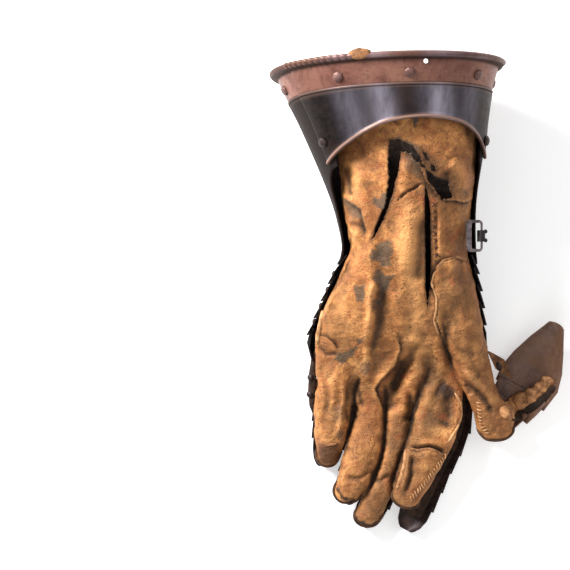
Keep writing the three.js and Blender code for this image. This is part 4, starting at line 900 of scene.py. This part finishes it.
def finger_skin(rows):
    """A leather finger with a round tip."""
    table = np.array(rows, float)
    along = np.concatenate([[0], np.cumsum(np.linalg.norm(np.diff(table[:, :3], axis=0), axis=1))])
    measured = np.column_stack([along, table])
    stations = [(place, 1.0, 0.0) for place in np.linspace(0, along[-1], FINGER_ROWS)]
    stations += [(along[-1], math.sqrt(1 - r * r), r) for r in (0.3, 0.55, 0.75, 0.9, 0.98)]
    rings = []
    turns = np.linspace(0, 2 * math.pi, FINGER_SIDES, endpoint=False)
    for place, scale, beyond in stations:
        here = along_table(measured, [place])[0]
        ahead = along_table(measured, [min(place + 1, along[-1])])[0]
        behind = along_table(measured, [max(place - 1, 0)])[0]
        forwards = Vector(ahead[1:4] - behind[1:4]).normalized()
        side = Vector((0, 0, 1)).cross(forwards).normalized()
        up = forwards.cross(side)
        ring = [
            Vector(here[1:4])
            + side * here[4] * scale * math.cos(turn)
            + up * here[5] * scale * math.sin(turn)
            + forwards * here[5] * beyond
            for turn in turns
        ]
        rings.append([tuple(p) for p in ring])
    return closed_skin(rings)


def hand_skin():
    """The hand and sleeve, with a rounded front under the fingers' roots."""
    angles = np.linspace(0, 360, HAND_SIDES, endpoint=False)
    rings = []
    for y in np.linspace(HAND[0][0], HAND[-1][0] + 2, HAND_ROWS):
        row = along_table(HAND, [y])
        row[:, 0] = y
        rings.append(section_points(np.repeat(row, len(angles), axis=0), angles, 0))
    front = np.array(HAND[:1], float)
    for t in (0.25, 0.5, 0.7, 0.85, 0.95):
        row = front * [1, 1, 1, 1 - 0.12 * t, math.sqrt(1 - t * t), 1]
        row[:, 0] = HAND[0][0] - HAND_FRONT * t
        rings.insert(0, section_points(np.repeat(row, len(angles), axis=0), angles, 0))
    return closed_skin(rings)


def tear_cutter():
    """Upright prisms through the palm's side alone, with ragged outlines."""
    prisms = []
    for n, (name, outline) in enumerate(TEARS.items()):
        ragged = []
        for a, b in zip(outline, outline[1:] + outline[:1]):
            a, b = Vector(a), Vector(b)
            count = max(1, int((b - a).length / TEAR_STEP))
            normal = Vector((-(b - a).y, (b - a).x)).normalized()
            for i in range(count):
                p = a.lerp(b, i / count)
                wander = noise.noise(Vector((p.x * 0.5, p.y * 0.5, n * 9.7))) if i else 0
                ragged.append(p + normal * (RAGGED.get(name, 0.45) * wander))
        bottom = SEAM_BOTTOM if name == "open_seam" else TEAR_BOTTOM
        prisms.append(closed_skin([[(p.x, p.y, z) for p in ragged] for z in (bottom, TEAR_TOP)]))
    mesh = mesh_from("tear_cutter", *joined(prisms))
    outward(mesh)
    return mesh


def glove_shell():
    """The glove's outer surface as one skin, torn open, and open at the cuff's end."""
    shell = mesh_from("glove_base", *joined([hand_skin(), *map(finger_skin, LEATHER.values())]))
    outward(shell)
    remesh = {"mode": "VOXEL", "voxel_size": GLOVE_VOXEL * MM, "use_smooth_shade": True}
    soften = {"factor": 0.5, "iterations": 8}
    shell = with_modifiers("glove_shell", shell, ("REMESH", remesh), ("SMOOTH", soften))
    shell.materials.append(LEATHER_MATERIAL)
    cutter = tear_cutter()
    cutter.materials.append(THREAD)
    shell = cut("glove_shell", shell, cutter, material_mode="TRANSFER")

    opened = bmesh.new()
    opened.from_mesh(shell)
    walls = [face for face in opened.faces if face.material_index != 0]
    bmesh.ops.delete(opened, geom=walls, context="FACES")
    end = Vector(metres([0, HAND[-1][0], 0]))
    everything = opened.verts[:] + opened.edges[:] + opened.faces[:]
    bmesh.ops.bisect_plane(opened, geom=everything, plane_co=end, plane_no=(0, 1, 0), clear_outer=True)
    opened.to_mesh(shell)
    opened.free()
    shell.update()
    return shell


def side_of_run(xy, run):
    """1 on the left of a polyline and -1 on the right of it, by its nearest stretch."""
    run = np.asarray(run, float)
    best = np.full(len(xy), 1e9)
    side = np.ones(len(xy))
    for a, b in zip(run[:-1], run[1:]):
        step = b - a
        t = np.clip(((xy - a) @ step) / (step @ step), 0, 1)
        distance = np.hypot(*(xy - (a + t[:, None] * step)).T)
        nearer = distance < best - 1e-6
        best[nearer] = distance[nearer]
        side[nearer] = np.sign(step[0] * (xy[nearer, 1] - a[1]) - step[1] * (xy[nearer, 0] - a[0]))
    return side


def fading(along):
    """1 along most of a run, dying away at both ends."""
    return np.clip(6 * np.minimum(along, 1 - along), 0, 1)


def bell(distance, width):
    """1 at no distance, dying away beyond the width."""
    return np.exp(-((distance / width) ** 2))


def palm_relief(xy, on_hand):
    """How far the palm's leather stands above its plain section."""
    height = np.zeros(len(xy))
    for x1, y1, x2, y2, width, rise in FOLDS:
        distance, _ = closest_on_run(xy, [(x1, y1), (x2, y2)])
        height += rise * bell(distance, width) * on_hand
    for width, rise, run in CREASES:
        distance, along = closest_on_run(xy, run)
        wide = (RIDGE_WIDTH if rise > 0 else VALLEY_WIDTH) * width
        height += CREASE_HEIGHT * rise * bell(distance, wide) * fading(along)
    for run in FINGER_GAPS:
        distance, along = closest_on_run(xy, run)
        height -= FINGER_GAP_DEPTH * bell(distance, FINGER_GAP_WIDTH) * fading(along)
    for width, rise, run in LAPS:
        distance, along = closest_on_run(xy, run)
        height += 0.5 * rise * side_of_run(xy, run) * np.exp(-distance / width) * fading(along)
    return height


def vectors(elements, key):
    """A property of a mesh's elements as rows of three numbers."""
    flat = np.empty(len(elements) * 3)
    elements.foreach_get(key, flat)
    return flat.reshape(-1, 3)


def clouds(places, scale, octaves, shift=(0, 0, 0)):
    """Fractal noise at places."""
    return np.array([noise.fractal(Vector(p) * scale + Vector(shift), 1.0, 2.0, octaves) for p in places])


def smoothed(values, edges, rounds):
    """Values averaged with their neighbours' again and again."""
    degree = np.bincount(edges.ravel(), minlength=len(values)).clip(1)
    for _ in range(rounds):
        total = np.zeros_like(values)
        for k in range(values.shape[1]):
            total[:, k] = np.bincount(edges[:, 0], values[edges[:, 1], k], len(values))
            total[:, k] += np.bincount(edges[:, 1], values[edges[:, 0], k], len(values))
        values = 0.5 * values + 0.5 * total / degree[:, None]
    return values


glove = glove_shell()
local = (vectors(glove.vertices, "co") - np.array(ORIGIN)) / MM
normals = vectors(glove.vertices, "normal")
edges = np.empty(len(glove.edges) * 2, np.int32)
glove.edges.foreach_get("vertices", edges)
edges = edges.reshape(-1, 2)

# Where the leather faces up out of the palm, and where it lies behind the fingers.
facing = np.clip((normals[:, 2] + 0.1) / 0.6, 0, 1)
on_hand = np.clip((local[:, 1] + 84) / 16, 0, 1)

# Uneven leather: runs and outlines in the plan wander a little, and the surface swells and wrinkles.
broad = clouds(local, 0.07, 4)
fine = clouds(local, 0.3, 3, (40, 0, 0))
wrinkles = np.array([noise.ridged_multi_fractal(Vector(p) * 0.06, 1.0, 2.1, 4, 0.9, 2.0) for p in local])
wrinkles = (wrinkles - wrinkles.mean()) / wrinkles.std()
slow = [[noise.noise(Vector(p) * 0.05 + Vector((k, 7, 3))) for k in (0, 50)] for p in local]
wander = local[:, :2] + 2.2 * np.array(slow) + 0.35 * np.stack([fine, -fine], axis=1)
local[:, 2] += palm_relief(wander, on_hand) * facing
local += normals * (0.8 * broad + 0.2 * fine + 0.22 * wrinkles)[:, None]
glove.vertices.foreach_set("co", metres(local).ravel())
glove.update()

# How far each place lies under its near and its wider surroundings, which sets painted shade in its hollows
# and painted highlights where it stands out.
hollow = ((smoothed(local, edges, 24) - local) * normals).sum(axis=1)
deep = ((smoothed(local, edges, 110) - local) * normals).sum(axis=1)
marks = {kind: np.zeros(len(local)) for kind in ("stain", "soil_and_shade", "shade", "light")}


def mark(kind, amount):
    """Adds a mark on the palm's side where it is stronger than what is there."""
    marks[kind] = np.maximum(marks[kind], amount * (facing > 0.15))


for kind, strength, softness, outline in STAINS:
    distance, _ = closest_on_run(wander, outline + outline[:1])
    depth = np.where(inside_outline(wander, outline), distance, -distance)
    ragged = 1.6 * fine + (1.2 * wrinkles if kind == "stain" else 0)
    mark(kind, strength * np.clip(0.5 + (depth + ragged) / (1.5 * softness), 0, 1))
for outline in TEARS.values():
    distance, _ = closest_on_run(local[:, :2], outline + outline[:1])
    mark("soil_and_shade", 0.6 * bell(distance, 1.2))
# Painted shade along the deeper valleys.
for width, rise, run in CREASES:
    if rise < -1:
        distance, along = closest_on_run(wander, run)
        mark("soil_and_shade", 0.3 * bell(distance, 0.35 * width) * fading(along))
        mark("shade", 0.5 * bell(distance, 1.3 * width) * fading(along))
# Painted shadow along each lapped edge, wide on its lower side and thin on its upper side.
for width, rise, run in LAPS:
    distance, along = closest_on_run(wander, run)
    below = side_of_run(wander, run) * np.sign(rise) < 0
    mark("soil_and_shade", 0.8 * np.exp(-distance / np.where(below, 1.8, 0.35)) * fading(along))
    mark("shade", 0.6 * np.exp(-distance / np.where(below, 6, 0.6)) * fading(along))
# Painted shade in the gaps between the fingers.
for run in FINGER_GAPS:
    distance, along = closest_on_run(wander, run)
    mark("soil_and_shade", 0.9 * bell(distance, 1.3) * fading(along))
    mark("shade", 0.7 * bell(distance, 4.5) * fading(along))
# Painted shade in small and broad hollows, a slight darkening over all the leather, and painted highlights
# where it stands out.
marks["soil_and_shade"] = np.clip(marks["soil_and_shade"] + np.clip(hollow * 0.55 - 0.12, 0, 0.6) * facing, 0, 0.92)
marks["shade"] = np.clip(marks["shade"] + np.clip(deep * 0.35, -0.3, 0.5) * facing + 0.12, 0, 0.95)
marks["light"] = np.maximum(marks["light"], np.clip(-hollow * 0.6 - 0.08, 0, 0.5) * facing)
for key, values in marks.items():
    glove.attributes.new(key, "FLOAT", "POINT").data.foreach_set("value", values)


def surface_of(data):
    """A mesh's surface, to lay things on."""
    corners = [tuple(v.co) for v in data.vertices]
    return BVHTree.FromPolygons(corners, [tuple(p.vertices) for p in data.polygons])


palm_surface = surface_of(glove)

set_material(glove, LEATHER_MATERIAL, SOILED_SHADED_INSIDE)
glove.polygons.foreach_set("material_index", np.zeros(len(glove.polygons), np.int32))
thicken = {"thickness": GLOVE_WALL * MM, "offset": -1.0, "use_even_offset": False, "material_offset": 1}
glove = with_modifiers("glove", glove, ("SOLIDIFY", thicken))
smooth(glove)
add_piece("glove", glove, [name for name in frame["nodes"] if name.startswith("glove_")])

# ---- Seams and small leather pieces ----

leaf_surface = surface_of(frame["nodes"]["thumb_leaf_plate"].data)
lame_surface = surface_of(frame["nodes"]["thumb_lame"].data)
tab_surface = surface_of(frame["nodes"]["thumb_tab"].data)


def on_surface(xy, *surfaces):
    """The highest place of the surfaces under a plan position, as a point and a normal, or None."""
    found = None
    start = Vector(metres((*xy, 300)))
    for surface in surfaces:
        hit, normal, _, _ = surface.ray_cast(start, Vector((0, 0, -1)))
        if hit and (found is None or hit.z > found[0].z):
            found = (hit, normal)
    return found and ((found[0] - ORIGIN) / MM, found[1])


def spaced(run, pitch):
    """Places along a polyline at equal steps, each with its direction in the plan."""
    run = [Vector(p) for p in run]
    lengths = [(b - a).length for a, b in zip(run, run[1:])]
    total = sum(lengths)
    steps = max(1, round(total / pitch))
    places = []
    for i in range(steps + 1):
        left = total * i / steps
        for a, b, length in zip(run, run[1:], lengths):
            if left <= length or b is run[-1]:
                places.append((a.lerp(b, min(left / length, 1)), (b - a).normalized()))
                break
            left -= length
    return places


def circle(sides):
    """Equal turns round a circle, in radians."""
    return [2 * math.pi * k / sides for k in range(sides)]


def taper(i, count, start, step):
    """Share of the full width at one of a run's places, which narrows over the last few at both ends."""
    return min(1.0, start + step * min(i, count - 1 - i))


def evened(values, rounds):
    """Values along a run, averaged with their neighbours again and again. Both ends stay."""
    values = np.array(values, float)
    for _ in range(rounds):
        values[1:-1] = (values[:-2] + values[1:-1] + values[2:]) / 3
    return values


def tube_skin(path, radii, sides, flat=1.0):
    """A closed tube along points, as high as flat times its width."""
    path = [Vector(p) for p in path]
    rings = []
    for i, (p, radius) in enumerate(zip(path, radii)):
        forwards = (path[min(i + 1, len(path) - 1)] - path[max(i - 1, 0)]).normalized()
        side = forwards.cross(Vector((0, 0, 1)))
        side = side.normalized() if side.length > 1e-3 else Vector((1, 0, 0))
        up = side.cross(forwards)
        spokes = [math.cos(t) * side + flat * math.sin(t) * up for t in circle(sides)]
        rings.append([tuple(p + radius * spoke) for spoke in spokes])
    return closed_skin(rings)


def stitch_skin(middle, direction, normal, length, radius):
    """One stitch that arches out of the leather and dives in again at both ends."""
    path, radii = [], []
    for t in np.linspace(0, 1, 7):
        rise = 1.1 * radius * (math.sin(math.pi * t) * 1.6 - 0.6)
        path.append(middle + direction * (t - 0.5) * length + normal * rise)
        radii.append(radius * (0.75 + 0.25 * math.sin(math.pi * t)))
    return tube_skin(path, radii, 7)


def sew(name, run, pitch, length, angles, radius, material, seed):
    """Stitches along a seam, each turned by the angles from the seam's direction."""
    chance = random.Random(seed)
    parts = []
    for xy, along in spaced(run, pitch):
        for angle in angles:
            turned = math.radians(angle + chance.uniform(-14, 14))
            direction = Vector((
                along.x * math.cos(turned) - along.y * math.sin(turned),
                along.x * math.sin(turned) + along.y * math.cos(turned),
                0,
            ))
            found = on_surface(xy, palm_surface)
            if found:
                middle, normal = found
                direction = (direction - normal * direction.dot(normal)).normalized()
                reach = length * chance.uniform(0.8, 1.15)
                parts.append(stitch_skin(middle, direction, normal, reach, radius))
    add_skin(name, joined(parts), material)


def lay(name, run, radius, flat, material, sink=0.3, surfaces=None, ragged=0.22):
    """A rolled edge or strip along a run, sunk a little into the surface under it."""
    path, radii = [], []
    places = spaced(run, 1.2)
    for i, (xy, _) in enumerate(places):
        found = on_surface(xy, *(surfaces or [palm_surface]))
        if found:
            wobble = 1 + ragged * noise.noise(Vector((xy.x * 0.3, xy.y * 0.3, 5)))
            path.append(found[0] + Vector((0, 0, radius * flat * (1 - 2 * sink))))
            radii.append(radius * wobble * taper(i, len(places), 0.35, 0.3))
    path = [Vector((p.x, p.y, z)) for p, z in zip(path, evened([p.z for p in path], 3))]
    add_skin(name, tube_skin(path, radii, 12, flat), material)


def tip_seam(name, inside, first, last):
    """A dark seam round a fingertip, where level lines from a place inside the tip meet the leather."""
    path = []
    for turn in np.linspace(first, last, 40):
        towards = Vector((math.cos(math.radians(turn)), math.sin(math.radians(turn)), 0))
        hit = palm_surface.ray_cast(Vector(metres(inside)), towards)[0]
        if hit:
            path.append(tuple((hit - ORIGIN) / MM + towards * 0.3))
    radii = [1.3 * taper(i, len(path), 0.3, 0.15) for i in range(len(path))]
    add_skin(name, tube_skin(evened(path, 6), radii, 9), DARK_LEATHER)


def gap_shade_strip(name, run):
    """The dark strip of leather low down between two fingers, which drops a little towards the tips. It is
    painted shade, where the gap between the fingers is in shade.
    """
    path = [Vector((*xy, 11 - 0.05 * n)) for n, (xy, _) in enumerate(spaced(run, 2))]
    radii = [3.4 * taper(n, len(path), 0.4, 0.2) for n in range(len(path))]
    add_skin(name, tube_skin(path, radii, 10, 0.3), SHADED)


def dome(place, direction, radius, height):
    """A low domed rivet head on a place, facing a direction."""
    direction = Vector(direction).normalized()
    side = direction.cross(Vector((0, 0, 1)) if abs(direction.z) < 0.9 else Vector((0, 1, 0))).normalized()
    up = side.cross(direction)
    rings = []
    for wide, out in ((0.9, -0.3), (1.0, 0.0), (0.94, 0.35), (0.76, 0.68), (0.45, 0.92), (0.12, 1.0)):
        middle = Vector(place) + direction * out * height
        spokes = [math.cos(t) * side + math.sin(t) * up for t in circle(16)]
        rings.append([tuple(middle + radius * wide * spoke) for spoke in spokes])
    return closed_skin(rings)


def rivet(name, place, direction, radius, height, material=BROWNED):
    """A rivet head, or a washer where it is low and wide."""
    add_skin(name, dome(place, direction, radius, height), material)


def scrap_skin():
    """A scrap of the lining, folded over the cuff's rim."""
    rings = []
    for x in np.linspace(*SCRAP, 9):
        angle = math.degrees(math.acos(max(-1, min(1, (x - MOUTH_X) / MOUTH_HALF_WIDTH))))
        fade = math.sin(math.pi * (x - SCRAP_FADE[0]) / SCRAP_FADE[1])
        ring = []
        for t in np.linspace(0, 2 * math.pi, 16, endpoint=False):
            row = along_table(ARMOUR, [mouth_y(angle)])
            row[:, 0] = mouth_y(angle) - RIM_BEAD + (1.6 + 2.6 * fade) * math.sin(t) + 1.4
            place = section_points(row, [angle], 3.2 + (1.6 + 1.4 * fade) * math.cos(t))[0]
            sway = [noise.noise(Vector(place) * 0.4 + Vector((9 * k, 0, 0))) for k in range(3)]
            ring.append(tuple(place + 0.5 * np.array(sway)))
        rings.append(ring)
    return closed_skin(rings)


sew("index_cap_stitches", INDEX_EDGE, 2.4, 4.2, [65], 0.5, LIGHT_THREAD, 1)
sew("thumb_stitches", THUMB_EDGE, 2.6, 3.6, [70], 0.45, LIGHT_THREAD, 2)
sew("wrist_stitches", WRIST_SEAM, 5.2, 5.0, [50, -50], 0.42, THREAD, 3)
sew("gusset_stitches", GUSSET_SEAM, 2.8, 1.7, [0], 0.34, THREAD, 4)
sew("palm_stitches", PALM_SEAM, 3.2, 1.8, [0], 0.32, THREAD, 5)
sew("side_stitches", SIDE_SEAM, 3.4, 2.4, [60], 0.36, LIGHT_THREAD, 6)
lay("side_welt", SIDE_SEAM, 1.7, 0.7, WELT, 0.05)
lay("pad_welt", PAD_SEAM, 0.8, 0.8, WELT)
lay("gusset_welt", GUSSET_SEAM, 1.0, 0.6, LINING)
lay("index_roll", INDEX_ROLL, 1.5, 0.8, WELT)
lay("index_cap_hem", INDEX_HEM, 1.0, 0.7, LINING)
lay("index_lobe_edge", INDEX_LOBE, 1.0, 0.9, WELT)
lay("little_hem", LITTLE_HEM, 1.1, 0.7, LINING)

# What is left of the lining over the thumb's leaf, and the shade under it.
leaf_parts = [leaf_surface, lame_surface, palm_surface]
lay("leaf_lining", LEAF_LINING, 6.4, 0.36, LEAF_LEATHER, 0.1, leaf_parts, 0.4)
lay("leaf_shade", LEAF_SHADE, 3.4, 0.35, SHADED, 0.1, leaf_parts)

for name, (inside, first, last) in TIP_SEAMS.items():
    tip_seam(f"{name}_tip_seam", inside, first, last)
for i, run in enumerate(FINGER_GAP_SHADES, 1):
    gap_shade_strip(f"finger_gap_shade_{i}", run)

for i, (y, angle) in enumerate(LAME_RIVETS, 1):
    row = along_table(ARMOUR, [y])
    row[:, 0] = y
    under, over = section_points(row, [angle], -2)[0], section_points(row, [angle], 2)[0]
    rivet(f"lame_rivet_{i}", under, over - under, 2.4, 1.6)

# The strap of the little finger's scales, which shows beside the glove, with two of its rivets.
add_skin("little_strap", tube_skin(STRAP_RUN, STRAP_RADII, 12, 0.45), STRAP)
for i, place in enumerate(STRAP_RIVETS, 1):
    rivet(f"little_rivet_{i}", place, (-0.5, 0, 1), 2.4, 1.5)

tab_place, tab_normal = on_surface(TAB_RIVET, tab_surface)
rivet("tab_washer", tab_place, tab_normal, 3.4, 0.5, SHADED)
rivet("tab_rivet", tab_place + tab_normal * 0.5, tab_normal, 2.0, 1.1)
add_skin("lining_scrap", scrap_skin(), LINING)

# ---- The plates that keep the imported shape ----

# Their materials, by how their names start.
KEPT = {
    "band_rivet_": RIVET_STEEL,
    "seam_rivet_": BROWNED,
    "wrist_lame_": BLACKENED,
    "knuckle_plate": BLACKENED,
    "little_": BROWNED,
    "ring_": BROWNED,
    "middle_": BROWNED,
    "index_scale_": BROWNED,
    "index_tip_plate": BROWNED,
    "index_strap": STRAP,
    "thumb_leaf_plate": THUMB_STEEL,
    "thumb_lame": THUMB_STEEL,
    "thumb_tip_plate": THUMB_STEEL,
    "thumb_tab": TAB,
    "buckle_hasp": BLACKENED,
    "buckle_frame": BUCKLE_STEEL,
}
WELD_DISTANCE = 0.02
BEVEL_WIDTH = 0.25
BEVEL_ANGLE = 40  # edges sharper than this are rounded


def dress_plate(node, material):
    """Gives a packed plate its material and slightly rounded edges."""
    set_material(node.data, material)
    weld = node.modifiers.new("weld", "WELD")
    weld.merge_threshold = WELD_DISTANCE * MM
    bevel = node.modifiers.new("bevel", "BEVEL")
    bevel.width, bevel.segments, bevel.limit_method = BEVEL_WIDTH * MM, 2, "ANGLE"
    bevel.angle_limit = math.radians(BEVEL_ANGLE)
    node.modifiers.new("normals", "WEIGHTED_NORMAL")


for name, node in frame["nodes"].items():
    for start, material in KEPT.items():
        if name.startswith(start):
            dress_plate(node, material)

# ---- Floor, light and camera ----


def floor_material():
    """A pale, dull floor that glows a little, so that it stays pale in the picture."""
    s = Surface("floor")
    tone = s.ramp(s.noise(120, 2), (0.3, 0.86), (0.7, 0.88))
    rough = s.ramp(s.noise(60, 2), (0.3, 0.9), (0.7, 0.95))
    return s.finish(tone, rough, s.noise(3, 2), 0.02, Emission_Color=(1, 1, 1, 1), Emission_Strength=0.44)


FLOOR_REACH = 4000
FLOOR_DROP = 0.3  # under the gauntlet's lowest place
corners = [(x * FLOOR_REACH, y * FLOOR_REACH, -FLOOR_DROP) for x, y in ((-1, -1), (1, -1), (1, 1), (-1, 1))]
floor = bpy.data.objects.new("floor", mesh_from("floor", corners, [(0, 1, 2, 3)]))
floor.location.z = -ORIGIN.z
floor.data.materials.append(floor_material())
bpy.context.scene.collection.objects.link(floor)

world = bpy.data.worlds.new("studio")
bpy.context.scene.world = world
world.use_nodes = True
background = world.node_tree.nodes["Background"]
background.inputs["Color"].default_value = (1, 1, 1, 1)
background.inputs["Strength"].default_value = 0.4

# Soft boxes: name, place in millimetres, side in millimetres, power in watts.
LIGHTS = [
    ("key", (-760, 640, 700), 420, 32),
    ("fill", (800, 200, 900), 900, 3),
    ("front", (0, -900, 900), 900, 2.5),
]
LIT_PLACE = (5, 30, 40)
for name, where, side, power in LIGHTS:
    lamp = bpy.data.lights.new(name, "AREA")
    lamp.size, lamp.energy = side * MM, power
    holder = bpy.data.objects.new(name, lamp)
    holder.location = metres(where)
    aim = Vector(metres(LIT_PLACE)) - holder.location
    holder.rotation_euler = aim.to_track_quat("-Z", "Y").to_euler()
    bpy.context.scene.collection.objects.link(holder)

VIEW_MIDDLE = (-73.5, 4.9)
VIEW_HEIGHT = 6000
VIEW_WIDTH = 399  # across the picture, at the height of the palm
PALM_HEIGHT = 60
SENSOR = 36
camera = bpy.data.objects.new("camera", bpy.data.cameras.new("camera"))
camera.data.sensor_width = SENSOR
camera.data.lens = SENSOR * (VIEW_HEIGHT - PALM_HEIGHT) / VIEW_WIDTH
camera.data.clip_end = 100
camera.location = metres((*VIEW_MIDDLE, VIEW_HEIGHT))
bpy.context.scene.collection.objects.link(camera)
bpy.context.scene.camera = camera
bpy.context.scene.view_settings.view_transform = "Standard"
